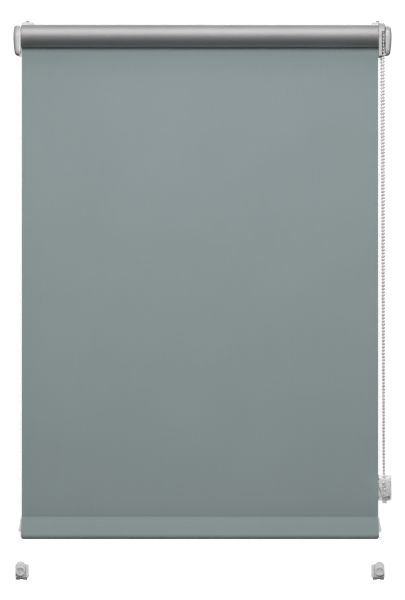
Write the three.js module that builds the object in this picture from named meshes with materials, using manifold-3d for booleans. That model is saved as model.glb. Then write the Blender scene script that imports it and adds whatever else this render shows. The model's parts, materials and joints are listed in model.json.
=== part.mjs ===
// Chain-driven roller blind that hangs on a window sash by clamp hooks, with side guide cords.
// Millimetres, +Z up. The sash face is the plane y = 0 and the blind hangs in front of it, towards -Y.
// The origin is on the sash face, midway between the two end covers, level with the roller's axis.
import * as THREE from 'three';
import { mergeVertices } from 'three/addons/utils/BufferGeometryUtils.js';
import Module from 'manifold-3d';

const wasm = await Module();
wasm.setup();

// ---------------------------------------------------------------- driving dimensions

const OVERALL_WIDTH = 700; // outside of one end cover to outside of the other
const AXIS_OUT = 32; // roller axis in front of the sash face
const SASH_TOP = 23.6; // top edge of the sash above the roller axis
const SASH_HEIGHT = 1023.4; // from the head hooks to the foot ledges
const SASH_THICKNESS = 18;
const HEM_RISE = 68.6; // lowest line of the hem above the underside of the sash

const GAP = 0.3; // between pieces that touch
const RUNNING = 0.35; // round a shaft that turns or a cord that slides

const TUBE_RADIUS = 19;
const TUBE_WALL = 1;
const ROLL_RADIUS = 21.2; // tube with the cloth wound on it
const CLOTH = 0.5;

const COVER_WIDTH = 12.1;
const COVER_TOP = 19.5;
const COVER_BOTTOM = -33;
const COVER_OUT = 57; // front of the covers ahead of the sash
const COVER_WALL = 1.6;
const COVER_TOP_ROUND = 24;
const COVER_BOTTOM_ROUND = 10;

const BRACKET_PLATE = 1.8;
const FLANGE = 2; // bracket flange on the sash face
const FLANGE_TOP = 21;
const FLANGE_BOTTOM = -20;
const IDLE_RUN = 1.1; // side play between the roller and the idle bracket
const DRIVE_RUN = 1.3;

const GUARD_WIDTH = 11;
const GUARD_RADIUS = 24.8;
const GUARD_HOLLOW = 21.3;
const GUARD_BOTTOM = -35.4;
const GUARD_WEB = 1.8;
const GUARD_ROUND = 3;
const WINDOW_TOP = 8; // of the opening in the guard's front, through which the chain shows
const WINDOW_BACK = 8; // ahead of the roller axis
const WINDOW_RIM = 1.5;
const CHAIN_INSET = 3.7; // middle of the chain inside the guard's open side
const HUB_RADIUS = 12; // sprocket's hub, which passes through the guard into the spigot

const BEAD_DIAMETER = 4.5;
const BEAD_PITCH = 6;
const SPROCKET_POCKETS = 16;
const PULLEY_POCKETS = 6;
const SPROCKET_FLANGE = 16.5;

const CORD_RADIUS = 0.6;
const CORD_OUTSIDE = 2.8; // guide cord beyond the edge of the cloth
const STOP_RADIUS = 1.7; // crimped stop on the cord's upper end
const STOP_LENGTH = 4;

const HEM_HEIGHT = 41.8;
const HEM_THICKNESS = 6.2;
const HEM_SHOULDER = 8; // the pocket opens out below its seam
const BAR_THICKNESS = 4.6;
const BAR_HEIGHT = 31;
const BAR_WALL = 0.8;

const HOOK_WIDTH = 22;
const STRIP = 1.5; // hook strips
const CLAW_TRAVEL = 4; // either way, for sashes of other thicknesses
const PAD = 1;

const TENSIONER_RISE = 160.8; // axle of the chain tensioner above the underside of the sash
const TENSIONER_OUT = 22;
const HEM_RUN = 0.6; // between the tensioner's shroud and the hem that passes behind it
const TENSIONER_DRIFT = 2.1; // outwards of the chain at the sprocket

const KNOB_RADIUS = 8.9;
const KNOB_RISE = 9.5; // knob axis above the underside of the sash
const DOME_RADIUS = 9.4;
const SPINDLE = 4.2; // radius of the knob's drum, on which the cord's end is held
const DOME_RISE = 27.5;

// ---------------------------------------------------------------- places that follow from them

const leftEnd = -OVERALL_WIDTH / 2;
const rightEnd = OVERALL_WIDTH / 2;
const idleFace = leftEnd + COVER_WIDTH; // where the left cover meets its bracket plate
const driveFace = rightEnd - COVER_WIDTH;
const idlePlate = [idleFace + GAP, idleFace + GAP + BRACKET_PLATE];
const drivePlate = [driveFace, driveFace + BRACKET_PLATE];
const guard = [driveFace - GAP - GUARD_WIDTH, driveFace - GAP];
const cloth = [idlePlate[1] + IDLE_RUN, guard[0] - DRIVE_RUN];
const axis = [-AXIS_OUT, 0];

const sheetFront = -AXIS_OUT + ROLL_RADIUS + GAP;
const sheetMiddle = sheetFront + CLOTH / 2;
const sashBottom = SASH_TOP - SASH_HEIGHT;
const hemBottom = sashBottom + HEM_RISE;
const hemTop = hemBottom + HEM_HEIGHT;
const cordLeft = cloth[0] - CORD_OUTSIDE;
const cordRight = cloth[1] + CORD_OUTSIDE;
const cordY = sheetMiddle;
const carrierFront = -FLANGE - GAP - STRIP; // front of the hooks' carriers

const beadRadius = BEAD_DIAMETER / 2;
const sprocketPitch = (SPROCKET_POCKETS * BEAD_PITCH) / (2 * Math.PI);
const pulleyPitch = (PULLEY_POCKETS * BEAD_PITCH) / (2 * Math.PI);
const grooveHalf = beadRadius + RUNNING;
const chainX = guard[1] - CHAIN_INSET;
const tensionerX = chainX + TENSIONER_DRIFT;
const tensionerZ = sashBottom + TENSIONER_RISE;

// ---------------------------------------------------------------- finishes

const finishes = {
  white: { color: 0xdedfdd, roughness: 0.38, metalness: 0 },
  clear: { color: 0xc9cccc, roughness: 0.25, metalness: 0 },
  face: { color: 0x87918f, roughness: 0.9, metalness: 0 },
  coating: { color: 0xb4b5b5, roughness: 0.45, metalness: 0.35 },
  aluminium: { color: 0xbfc2c4, roughness: 0.35, metalness: 1 },
  steel: { color: 0xa9abad, roughness: 0.3, metalness: 1 },
  nylon: { color: 0xe9eaea, roughness: 0.3, metalness: 0 },
  rubber: { color: 0x6d6f70, roughness: 0.85, metalness: 0 },
};

const blind = new THREE.Group();

function piece(name, shape, finish) {
  const { vertProperties, triVerts } = shape.getMesh();
  const geometry = new THREE.BufferGeometry();
  geometry.setAttribute('position', new THREE.BufferAttribute(vertProperties, 3));
  geometry.setIndex(new THREE.BufferAttribute(triVerts, 1));
  geometry.computeVertexNormals();
  const mesh = new THREE.Mesh(geometry, new THREE.MeshStandardMaterial(finishes[finish]));
  mesh.name = name;
  blind.add(mesh);
}

// ---------------------------------------------------------------- shape helpers

// A closed three.js geometry as a solid whose faces point out.
function solid(geometry) {
  geometry.deleteAttribute('normal');
  geometry.deleteAttribute('uv');
  const merged = mergeVertices(geometry, 1e-4);
  const vertices = merged.attributes.position.array;
  const corner = (i) => new THREE.Vector3().fromArray(vertices, 3 * i);
  const faces = [];
  let volume = 0;
  for (let i = 0; i < merged.index.count; i += 3) {
    const [a, b, c] = merged.index.array.slice(i, i + 3);
    if (a === b || b === c || c === a) continue;
    faces.push([a, b, c]);
    volume += corner(a).dot(corner(b).cross(corner(c)));
  }
  const outward = faces.flatMap(([a, b, c]) => (volume > 0 ? [a, b, c] : [a, c, b]));
  return new wasm.Manifold(new wasm.Mesh({
    numProp: 3,
    vertProperties: vertices,
    triVerts: new Uint32Array(outward),
  }));
}

const alongX = new THREE.Vector3(1, 0, 0);
const alongY = new THREE.Vector3(0, 1, 0);
const alongZ = new THREE.Vector3(0, 0, 1);
const extrusionFrame = {
  x: new THREE.Matrix4().makeBasis(alongY, alongZ, alongX),
  y: new THREE.Matrix4().makeBasis(alongX, alongZ, alongY.clone().negate()),
  z: new THREE.Matrix4(),
};

// An outline in the plane square to an axis, in the order x, y, z, carried from low to high along that axis.
function prism(direction, outline, low, high, curveSegments = 4) {
  const options = { depth: high - low, bevelEnabled: false, curveSegments };
  const geometry = new THREE.ExtrudeGeometry(outline, options);
  geometry.applyMatrix4(extrusionFrame[direction]);
  const start = { x: [low, 0, 0], y: [0, high, 0], z: [0, 0, low] };
  geometry.translate(...start[direction]);
  return solid(geometry);
}

function block([x0, x1], [y0, y1], [z0, z1]) {
  const geometry = new THREE.BoxGeometry(x1 - x0, y1 - y0, z1 - z0);
  geometry.translate((x0 + x1) / 2, (y0 + y1) / 2, (z0 + z1) / 2);
  return solid(geometry);
}

// A profile of [radius, place along the axis] turned round a line through the centre.
function turned(direction, profile, [u, v], sides = 24) {
  const points = profile.map(([radius, place]) => new THREE.Vector2(radius, place));
  const geometry = new THREE.LatheGeometry(points, sides);
  if (direction === 'x') geometry.rotateZ(-Math.PI / 2).translate(0, u, v);
  if (direction === 'y') geometry.translate(u, 0, v);
  if (direction === 'z') geometry.rotateX(Math.PI / 2).translate(u, v, 0);
  return solid(geometry);
}

function rod(direction, radius, low, high, centre, sides = 24) {
  return turned(direction, [[0, low], [radius, low], [radius, high], [0, high]], centre, sides);
}

function sleeve(direction, bore, radius, low, high, centre, sides = 24) {
  const profile = [[bore, low], [radius, low], [radius, high], [bore, high], [bore, low]];
  return turned(direction, profile, centre, sides);
}

function polygon(points) {
  return new THREE.Shape(points.map(([u, v]) => new THREE.Vector2(u, v)));
}

function roundedRectangle(u0, u1, v0, v1, radius) {
  const shape = new THREE.Shape();
  shape.absarc(u1 - radius, v0 + radius, radius, -Math.PI / 2, 0);
  shape.absarc(u1 - radius, v1 - radius, radius, 0, Math.PI / 2);
  shape.absarc(u0 + radius, v1 - radius, radius, Math.PI / 2, Math.PI);
  shape.absarc(u0 + radius, v0 + radius, radius, Math.PI, 1.5 * Math.PI);
  return shape;
}

function circle(radius, sides) {
  const step = (2 * Math.PI) / sides;
  const points = Array.from({ length: sides }, (_, i) => [Math.cos(i * step), Math.sin(i * step)]);
  return polygon(points.map(([u, v]) => [radius * u, radius * v]));
}

// A curve through chosen points that an extrusion follows from point to point.
class Route extends THREE.Curve {
  constructor(points) {
    super();
    this.points = points;
  }

  getPoint(share) {
    const last = this.points.length - 1;
    const at = Math.min(Math.max(share * last, 0), last);
    const before = Math.min(Math.floor(at), last - 1);
    return this.points[before].clone().lerp(this.points[before + 1], at - before);
  }

  getPointAt(share) {
    return this.getPoint(share);
  }

  getTangentAt(share) {
    const half = 0.5 / (this.points.length - 1);
    const ahead = this.getPoint(share + half);
    return ahead.sub(this.getPoint(share - half)).normalize();
  }
}

function tube(points, radius, sides = 8) {
  const options = { steps: points.length - 1, extrudePath: new Route(points), bevelEnabled: false };
  return solid(new THREE.ExtrudeGeometry(circle(radius, sides), options));
}

function coil(coilRadius, wireRadius, low, high, turns, stepsPerTurn = 10) {
  const steps = turns * stepsPerTurn;
  const points = Array.from({ length: steps + 1 }, (_, i) => {
    const angle = (2 * Math.PI * i) / stepsPerTurn;
    const x = low + ((high - low) * i) / steps;
    return new THREE.Vector3(
      x,
      axis[0] + coilRadius * Math.cos(angle),
      axis[1] + coilRadius * Math.sin(angle),
    );
  });
  return tube(points, wireRadius, 5);
}

// ---------------------------------------------------------------- roller and its end fittings

const tubeEnds = [cloth[0] + GAP, cloth[1] - GAP];
const plugRadius = TUBE_RADIUS - TUBE_WALL - GAP;
const plugFlange = TUBE_RADIUS - 0.2;
const SHAFT_RADIUS = 6; // fixed core of the clutch
const CORE_SQUARE = 8; // end of the core that sits in the bracket
const PIN_RADIUS = 3;
const PIN_COLLAR = 5;
const PIN_TAIL = 2;
const PIN_REACH = 3.4; // idle pin beyond the roller's end plug

function roller() {
  const bore = TUBE_RADIUS - TUBE_WALL;
  piece('roller_tube', sleeve('x', bore, TUBE_RADIUS, ...tubeEnds, axis, 32), 'aluminium');
  const wound = sleeve('x', TUBE_RADIUS + GAP, ROLL_RADIUS, ...cloth, axis, 48);
  piece('fabric_roll', wound, 'coating');
}

function idleEnd() {
  const lip = cloth[0] - 0.5; // outer face of the plug
  const seat = lip + 1.9; // behind the plug's lip
  const PLUG_LENGTH = 25;
  const BORE_LENGTH = 21.3;
  const flange = tubeEnds[0] - GAP;
  const plug = turned('x', [
    [PIN_RADIUS + RUNNING + 0.1, lip],
    [plugFlange, lip],
    [plugFlange, flange],
    [plugRadius, flange],
    [plugRadius, lip + PLUG_LENGTH],
    [0, lip + PLUG_LENGTH],
    [0, seat + BORE_LENGTH],
    [PIN_COLLAR + GAP, seat + BORE_LENGTH],
    [PIN_COLLAR + GAP, seat],
    [PIN_RADIUS + RUNNING + 0.1, seat],
    [PIN_RADIUS + RUNNING + 0.1, lip],
  ], axis);
  piece('idle_plug', plug, 'white');

  const COLLAR_LENGTH = 4;
  const TAIL_LENGTH = 11;
  const collar = seat + GAP;
  const tip = lip - PIN_REACH;
  const pin = turned('x', [
    [0, tip],
    [PIN_RADIUS - 0.6, tip],
    [PIN_RADIUS, tip + 0.8],
    [PIN_RADIUS, collar],
    [PIN_COLLAR, collar],
    [PIN_COLLAR, collar + COLLAR_LENGTH],
    [PIN_TAIL, collar + COLLAR_LENGTH],
    [PIN_TAIL, collar + COLLAR_LENGTH + TAIL_LENGTH],
    [0, collar + COLLAR_LENGTH + TAIL_LENGTH],
  ], axis, 24);
  piece('idle_pin', pin, 'white');

  const WIRE = 0.5;
  const springStart = collar + COLLAR_LENGTH + GAP + WIRE;
  const springEnd = seat + BORE_LENGTH - GAP - WIRE;
  piece('idle_spring', coil(3.6, WIRE, springStart, springEnd, 6), 'steel');
}

function driveEnd() {
  const CORE_LENGTH = 38;
  const coreRight = drivePlate[0] - GAP;
  const core = rod('x', SHAFT_RADIUS, coreRight - CORE_LENGTH, coreRight, axis)
    .add(block(
      [coreRight - 1, drivePlate[1] + GAP],
      [axis[0] - CORE_SQUARE / 2, axis[0] + CORE_SQUARE / 2],
      [axis[1] - CORE_SQUARE / 2, axis[1] + CORE_SQUARE / 2],
    ));
  piece('drive_core', core, 'white');

  const flange = tubeEnds[1] + GAP;
  const hubEnd = flange - 11.3;
  const SPIGOT_LENGTH = 29;
  const bearing = SHAFT_RADIUS + RUNNING;
  const spigot = turned('x', [
    [bearing, flange - SPIGOT_LENGTH],
    [plugRadius, flange - SPIGOT_LENGTH],
    [plugRadius, flange],
    [plugFlange, flange],
    [plugFlange, guard[0] - GAP],
    [HUB_RADIUS + RUNNING, guard[0] - GAP],
    [HUB_RADIUS + RUNNING, hubEnd - GAP],
    [bearing, hubEnd - GAP],
    [bearing, flange - SPIGOT_LENGTH],
  ], axis);
  piece('drive_spigot', spigot, 'white');

  const springRoom = SHAFT_RADIUS + 2.1;
  const springStop = chainX - grooveHalf; // the sprocket bears on the core from here outwards
  const groove = sprocketPitch - beadRadius - 0.55;
  const wheelLeft = guard[0] + GUARD_WEB + 0.7;
  const wheelRight = drivePlate[0] - 0.6;
  const sprocket = turned('x', [
    [springRoom, hubEnd],
    [HUB_RADIUS, hubEnd],
    [HUB_RADIUS, wheelLeft],
    [SPROCKET_FLANGE, wheelLeft],
    [SPROCKET_FLANGE, chainX - grooveHalf],
    [groove, chainX - grooveHalf],
    [groove, chainX + grooveHalf],
    [SPROCKET_FLANGE, chainX + grooveHalf],
    [SPROCKET_FLANGE, wheelRight],
    [bearing, wheelRight],
    [bearing, springStop],
    [springRoom, springStop],
    [springRoom, hubEnd],
  ], axis, 32);
  piece('sprocket', sprocket, 'white');

  const WIRE = 0.6;
  const wrap = coil(SHAFT_RADIUS + GAP + WIRE + 0.1, WIRE, hubEnd + 1, springStop - 1, 6);
  piece('clutch_spring', wrap, 'steel');
}

// ---------------------------------------------------------------- end brackets, covers and chain guard

// The covers' side view, in y and z, drawn inset by a wall and running back past the sash face.
function sideView(inset, back) {
  const front = -COVER_OUT + inset;
  const top = COVER_TOP - inset;
  const bottom = COVER_BOTTOM + inset;
  const high = COVER_TOP_ROUND - inset;
  const low = COVER_BOTTOM_ROUND - inset;
  const shape = new THREE.Shape();
  shape.moveTo(back, top);
  shape.lineTo(front + high, top);
  shape.absarc(front + high, top - high, high, Math.PI / 2, Math.PI);
  shape.absarc(front + low, bottom + low, low, Math.PI, 1.5 * Math.PI);
  shape.lineTo(back, bottom);
  return shape;
}

// The covers' front view, in x and z: flat where it meets the bracket, bellied outside.
function frontView(side, inset) {
  const face = side * (OVERALL_WIDTH / 2 - COVER_WIDTH);
  const BELLY_Z = -2;
  const TOP_TAPER = 2.6;
  const BOTTOM_TAPER = 4.4;
  const outside = side * (OVERALL_WIDTH / 2 - inset);
  const over = 1;
  const shape = new THREE.Shape();
  shape.moveTo(face - side * (inset > 0 ? over : 0), COVER_TOP + over);
  shape.lineTo(outside - side * TOP_TAPER, COVER_TOP + over);
  shape.splineThru([
    new THREE.Vector2(outside, BELLY_Z),
    new THREE.Vector2(outside - side * BOTTOM_TAPER, COVER_BOTTOM - over),
  ]);
  shape.lineTo(face - side * (inset > 0 ? over : 0), COVER_BOTTOM - over);
  return shape;
}

// The covers' plan, in x and y, with its outer front edge rounded.
function planView(side, inset) {
  const face = side * (OVERALL_WIDTH / 2 - COVER_WIDTH);
  const EDGE = 5;
  const outside = side * (OVERALL_WIDTH / 2 - inset);
  const front = -COVER_OUT + inset;
  const over = 1;
  const shape = new THREE.Shape();
  shape.moveTo(face - side * over, front);
  shape.lineTo(outside - side * EDGE, front);
  shape.quadraticCurveTo(outside, front, outside, front + EDGE * 1.6);
  shape.lineTo(outside, over);
  shape.lineTo(face - side * over, over);
  return shape;
}

function coverForm(side, inset) {
  const low = Math.min(side * (OVERALL_WIDTH / 2 + 1), side * (OVERALL_WIDTH / 2 - COVER_WIDTH - 2));
  const high = low + COVER_WIDTH + 3;
  return prism('x', sideView(inset, inset > 0 ? 2 : -FLANGE - GAP), low, high, 6)
    .intersect(prism('y', frontView(side, inset), -COVER_OUT - 1, 3, 5))
    .intersect(prism('z', planView(side, inset), COVER_BOTTOM - 2, COVER_TOP + 2, 5));
}

const plateView = (back) => sideView(COVER_WALL + GAP, back);

function pocketFor(cordX, z0, z1, slack) {
  return block(
    [cordX - STOP_RADIUS - slack, cordX + STOP_RADIUS + slack],
    [cordY - STOP_RADIUS - slack, cordY + STOP_RADIUS + slack],
    [z0, z1],
  );
}

const lugTop = COVER_BOTTOM - 0.2;
const stopSeat = lugTop + GAP;
const HEAD_LUG = [4.2, 6.2]; // height and depth of the lug that holds a cord
const LUG_HALF = 2.6;
const LUG_SLOT = 2.4; // open front and back, to thread the cord
const GUARD_LUG_RISE = 10.6;
const IDLE_LUG_RISE = 6;
const POCKET_ROOM = 0.5; // round a cord's stop
const lugY = [cordY - HEAD_LUG[1] / 2, cordY + HEAD_LUG[1] / 2];
const pocketTop = lugTop + STOP_LENGTH + 1.6;

function cordHole(x, low, high) {
  return rod('z', CORD_RADIUS + RUNNING, low, high, [x, cordY], 10);
}

function idleBracket() {
  const flange = [idlePlate[0], hookMiddle.left + HOOK_WIDTH / 2];
  const lugX = [cordLeft - LUG_HALF, cordLeft + LUG_HALF - GAP];
  const lug = block(lugX, lugY, [lugTop - HEAD_LUG[0], lugTop])
    .add(block(idlePlate, lugY, [lugTop - 1, COVER_BOTTOM + IDLE_LUG_RISE]));
  const bracket = prism('x', plateView(0), ...idlePlate, 7)
    .add(lug)
    .add(block(flange, [-FLANGE, 0], [FLANGE_BOTTOM, FLANGE_TOP]))
    .subtract(rod('x', PIN_RADIUS + RUNNING + 0.15, idlePlate[0] - 1, idlePlate[1] + 1, axis))
    .subtract(pocketFor(cordLeft, lugTop, pocketTop, POCKET_ROOM))
    .subtract(cordHole(cordLeft, lugTop - HEAD_LUG[0] - 1, lugTop + 1))
    .subtract(carrierHole(hookMiddle.left));
  piece('bracket_left', bracket, 'white');

  const notch = block([idleFace - 3.2, idleFace + 1], [lugY[0] - GAP, lugY[1] + GAP],
    [COVER_BOTTOM - 1, COVER_BOTTOM + COVER_WALL + 1]);
  const cover = coverForm(-1, 0).subtract(coverForm(-1, COVER_WALL)).subtract(notch);
  piece('cover_left', cover, 'white');
}

function driveBracket() {
  const SQUARE_HOLE = CORE_SQUARE + 2 * GAP;
  const flange = [hookMiddle.right - HOOK_WIDTH / 2, drivePlate[1]];
  const bracket = prism('x', plateView(0), ...drivePlate, 7)
    .add(block(flange, [-FLANGE, 0], [FLANGE_BOTTOM, FLANGE_TOP]))
    .subtract(block(
      [drivePlate[0] - 1, drivePlate[1] + 1],
      [axis[0] - SQUARE_HOLE / 2, axis[0] + SQUARE_HOLE / 2],
      [axis[1] - SQUARE_HOLE / 2, axis[1] + SQUARE_HOLE / 2],
    ))
    .subtract(carrierHole(hookMiddle.right));
  piece('bracket_right', bracket, 'white');
  piece('cover_right', coverForm(1, 0).subtract(coverForm(1, COVER_WALL)), 'white');
}

function guardView(radius, bottom) {
  const shape = new THREE.Shape();
  shape.moveTo(axis[0] + radius, bottom);
  shape.lineTo(axis[0] + radius, axis[1]);
  shape.absarc(axis[0], axis[1], radius, 0, Math.PI);
  shape.lineTo(axis[0] - radius, bottom);
  return shape;
}

function chainGuard() {
  const top = GUARD_RADIUS;
  const front = new THREE.Shape();
  front.moveTo(guard[0], GUARD_BOTTOM - 1);
  front.lineTo(guard[1], GUARD_BOTTOM - 1);
  front.absarc(guard[1] - GUARD_ROUND, top - GUARD_ROUND, GUARD_ROUND, 0, Math.PI / 2);
  front.lineTo(guard[0], top);
  const hubHole = rod('x', HUB_RADIUS + 2 * GAP, guard[0] - 1, guard[0] + GUARD_WEB + 1, axis, 32);
  const inside = guardView(GUARD_HOLLOW, GUARD_BOTTOM - 1);
  const hollow = prism('x', inside, guard[0] + GUARD_WEB, guard[1] + 1, 12);
  const windowCut = block(
    [guard[0] + GUARD_WEB + WINDOW_RIM, guard[1] + 1],
    [axis[0] - GUARD_RADIUS - 1, axis[0] - WINDOW_BACK],
    [GUARD_BOTTOM - 1, WINDOW_TOP],
  );
  const lugX = [cordRight - LUG_HALF, cordRight + LUG_HALF];
  const lug = block(lugX, lugY, [lugTop - HEAD_LUG[0], lugTop + GUARD_LUG_RISE]);
  const body = prism('x', guardView(GUARD_RADIUS, GUARD_BOTTOM), ...guard, 12)
    .intersect(prism('y', front, -AXIS_OUT - GUARD_RADIUS - 1, carrierFront - GAP))
    .subtract(hollow)
    .subtract(windowCut)
    .add(lug)
    .subtract(hubHole)
    .subtract(pocketFor(cordRight, lugTop, pocketTop, POCKET_ROOM))
    .subtract(block([cordRight - LUG_SLOT / 2, cordRight + LUG_SLOT / 2],
      [lugY[0] - 1, lugY[1] + 1], [lugTop, pocketTop]))
    .subtract(cordHole(cordRight, lugTop - HEAD_LUG[0] - 1, lugTop + 1));
  piece('chain_guard', body, 'white');
}

// ---------------------------------------------------------------- clamp hooks over the sash

const hookMiddle = {
  left: idlePlate[1] + GAP + HOOK_WIDTH / 2,
  right: driveFace - 12.5,
};
const SCREW_RADIUS = 1.5;
const clampScrewY = 4;
const seatBack = clampScrewY + 5; // back edge of the seats on the sash's top and underside
const carrierScrewZ = 16; // above the roll, which nearly reaches the carriers
const clawBack = SASH_THICKNESS + PAD + GAP;

function carrierHole(x) {
  return rod('y', SCREW_RADIUS + RUNNING, -FLANGE - STRIP - 1, 1, [x, carrierScrewZ], 12);
}

function headHook(side) {
  const x = hookMiddle[side];
  const across = [x - HOOK_WIDTH / 2, x + HOOK_WIDTH / 2];
  const LEG_BOTTOM = -18;
  const legBack = -FLANGE - GAP;
  const shelf = SASH_TOP + STRIP;
  const carrier = prism('x', polygon([
    [carrierFront, LEG_BOTTOM],
    [legBack, LEG_BOTTOM],
    [legBack, SASH_TOP],
    [seatBack, SASH_TOP],
    [seatBack, shelf],
    [carrierFront, shelf],
  ]), ...across)
    .subtract(carrierHole(x))
    .subtract(rod('z', SCREW_RADIUS + RUNNING, SASH_TOP - 1, shelf + 1, [x, clampScrewY], 12));
  piece(`hook_carrier_${side}`, carrier, 'white');

  const clawLow = shelf + GAP;
  const clawHigh = clawLow + STRIP;
  const CLAW_DROP = 14;
  const slot = SCREW_RADIUS + RUNNING;
  const claw = prism('x', polygon([
    [carrierFront, clawLow],
    [clawBack, clawLow],
    [clawBack, SASH_TOP - CLAW_DROP],
    [clawBack + STRIP, SASH_TOP - CLAW_DROP],
    [clawBack + STRIP, clawHigh],
    [carrierFront, clawHigh],
  ]), ...across)
    .subtract(block([x - slot, x + slot],
      [clampScrewY - CLAW_TRAVEL - slot, clampScrewY + CLAW_TRAVEL + slot],
      [clawLow - 1, clawHigh + 1]));
  piece(`hook_claw_${side}`, claw, 'white');
  const pad = block([across[0] + 2, across[1] - 2], [SASH_THICKNESS, SASH_THICKNESS + PAD],
    [SASH_TOP - CLAW_DROP + 1, SASH_TOP - 2]);
  piece(`hook_pad_${side}`, pad, 'rubber');

  const clampScrew = screw('z', [x, clampScrewY], SASH_TOP + GAP, clawHigh + GAP, CHEESE_HEAD);
  piece(`hook_screw_${side}`, clampScrew, 'steel');
  const fixing = screw('y', [x, carrierScrewZ], -GAP, carrierFront - GAP, PAN_HEAD);
  piece(`carrier_screw_${side}`, fixing, 'steel');
}

// Radius and height of each kind of screw head, and how far its top edge is drawn in.
const PAN_HEAD = [2.8, 1.8, 1];
const CHEESE_HEAD = [3.1, 2.8, 0.9];
const WIDE_HEAD = [4.2, 2.6, 0.8];
const HEAD_EDGE = 0.8; // how far down the head its edge is rounded

// A cross-recessed screw from its tip to its seat, with its head beyond the seat.
function screw(direction, centre, tip, seat, [radius, height, edge]) {
  const out = Math.sign(seat - tip);
  const end = seat + out * height;
  return turned(direction, [
    [0, tip],
    [SCREW_RADIUS, tip],
    [SCREW_RADIUS, seat],
    [radius, seat],
    [radius, end - out * HEAD_EDGE],
    [radius - edge, end],
    [0, end],
  ], centre, 12).subtract(driverSlot(direction, centre, end));
}

// A cross recess cut into the head of a screw, level with its end face.
function driverSlot(direction, [u, v], end) {
  const DEPTH = 0.8;
  const ARM = 1.5;
  const HALF = 0.35;
  const along = [end - DEPTH, end + DEPTH];
  const arms = [[ARM, HALF], [HALF, ARM]].map(([a, b]) => {
    const first = [u - a, u + a];
    const second = [v - b, v + b];
    if (direction === 'y') return block(first, along, second);
    return block(first, second, along);
  });
  return arms[0].add(arms[1]);
}

// ---------------------------------------------------------------- cloth, hem and guide cords

function clothAndHem() {
  const sheet = block(cloth, [sheetFront, sheetFront + CLOTH], [hemTop + GAP, 0]);
  piece('fabric_sheet', sheet, 'face');

  const half = HEM_THICKNESS / 2;
  const outer = new THREE.Shape();
  outer.moveTo(sheetMiddle - CLOTH, hemTop);
  outer.lineTo(sheetMiddle - half, hemTop - HEM_SHOULDER);
  outer.absarc(sheetMiddle, hemBottom + half, half, Math.PI, 2 * Math.PI);
  outer.lineTo(sheetMiddle + half, hemTop - HEM_SHOULDER);
  outer.lineTo(sheetMiddle + CLOTH, hemTop);
  const barBottom = hemBottom + CLOTH + GAP;
  const barView = (inset) => roundedRectangle(
    sheetMiddle - BAR_THICKNESS / 2 + inset,
    sheetMiddle + BAR_THICKNESS / 2 - inset,
    barBottom + inset,
    barBottom + BAR_HEIGHT - inset,
    Math.max(BAR_THICKNESS / 2 - inset - 0.05, 0.3),
  );
  const pocket = prism('x', outer, ...cloth)
    .subtract(prism('x', barView(-GAP), cloth[0] - 1, cloth[1] + 1));
  piece('hem_pocket', pocket, 'face');

  const END_FLANGE = 1.7;
  const barEnds = [cloth[0] + 2 * GAP + END_FLANGE, cloth[1] - 2 * GAP - END_FLANGE];
  const bar = prism('x', barView(0), ...barEnds)
    .subtract(prism('x', barView(BAR_WALL), barEnds[0] - 1, barEnds[1] + 1));
  piece('bottom_bar', bar, 'aluminium');

  for (const [side, edge, cordX] of [[-1, cloth[0], cordLeft], [1, cloth[1], cordRight]]) {
    const name = side < 0 ? 'left' : 'right';
    const at = (out) => edge + side * out;
    const span = (a, b) => [Math.min(at(a), at(b)), Math.max(at(a), at(b))];
    const flange = span(-GAP - END_FLANGE, -GAP);
    const tongue = span(-GAP - END_FLANGE - 14, -GAP - END_FLANGE + 0.5);
    const finTop = barBottom + BAR_HEIGHT - 0.5;
    const finBottom = finTop - 17;
    const OUT = CORD_OUTSIDE + 2.1;
    const fin = new THREE.Shape();
    fin.moveTo(at(-GAP - 0.5), finTop);
    fin.quadraticCurveTo(at(0.6), finTop - 2.5, at(OUT), finBottom + 5.5);
    fin.quadraticCurveTo(at(OUT + 0.2), finBottom + 0.8, at(OUT - 1.6), finBottom);
    fin.lineTo(at(-GAP - 0.5), finBottom);
    const end = prism('x', barView(0), ...flange)
      .add(prism('x', barView(BAR_WALL + GAP), ...tongue))
      .add(prism('y', fin, sheetMiddle - 1.5, sheetMiddle + 1.5))
      .subtract(cordHole(cordX, finBottom - 1, finTop + 1));
    piece(`bar_end_${name}`, end, 'clear');
  }
}

function guideCord(side, x) {
  const top = stopSeat + STOP_LENGTH - 0.5;
  const bottom = sashBottom + KNOB_RISE + SPINDLE + GAP;
  const steps = 8;
  const points = Array.from({ length: steps + 1 }, (_, i) => (
    new THREE.Vector3(x, cordY, top + ((bottom - top) * i) / steps)
  ));
  piece(`guide_cord_${side}`, tube(points, CORD_RADIUS), 'nylon');
  const crimp = turned('z', [
    [CORD_RADIUS + GAP, stopSeat],
    [STOP_RADIUS, stopSeat],
    [STOP_RADIUS, stopSeat + STOP_LENGTH - 1],
    [CORD_RADIUS + GAP, stopSeat + STOP_LENGTH],
    [CORD_RADIUS + GAP, stopSeat],
  ], [x, cordY], 10);
  piece(`cord_stop_${side}`, crimp, 'clear');
}

// ---------------------------------------------------------------- bead chain and its tensioner

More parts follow.
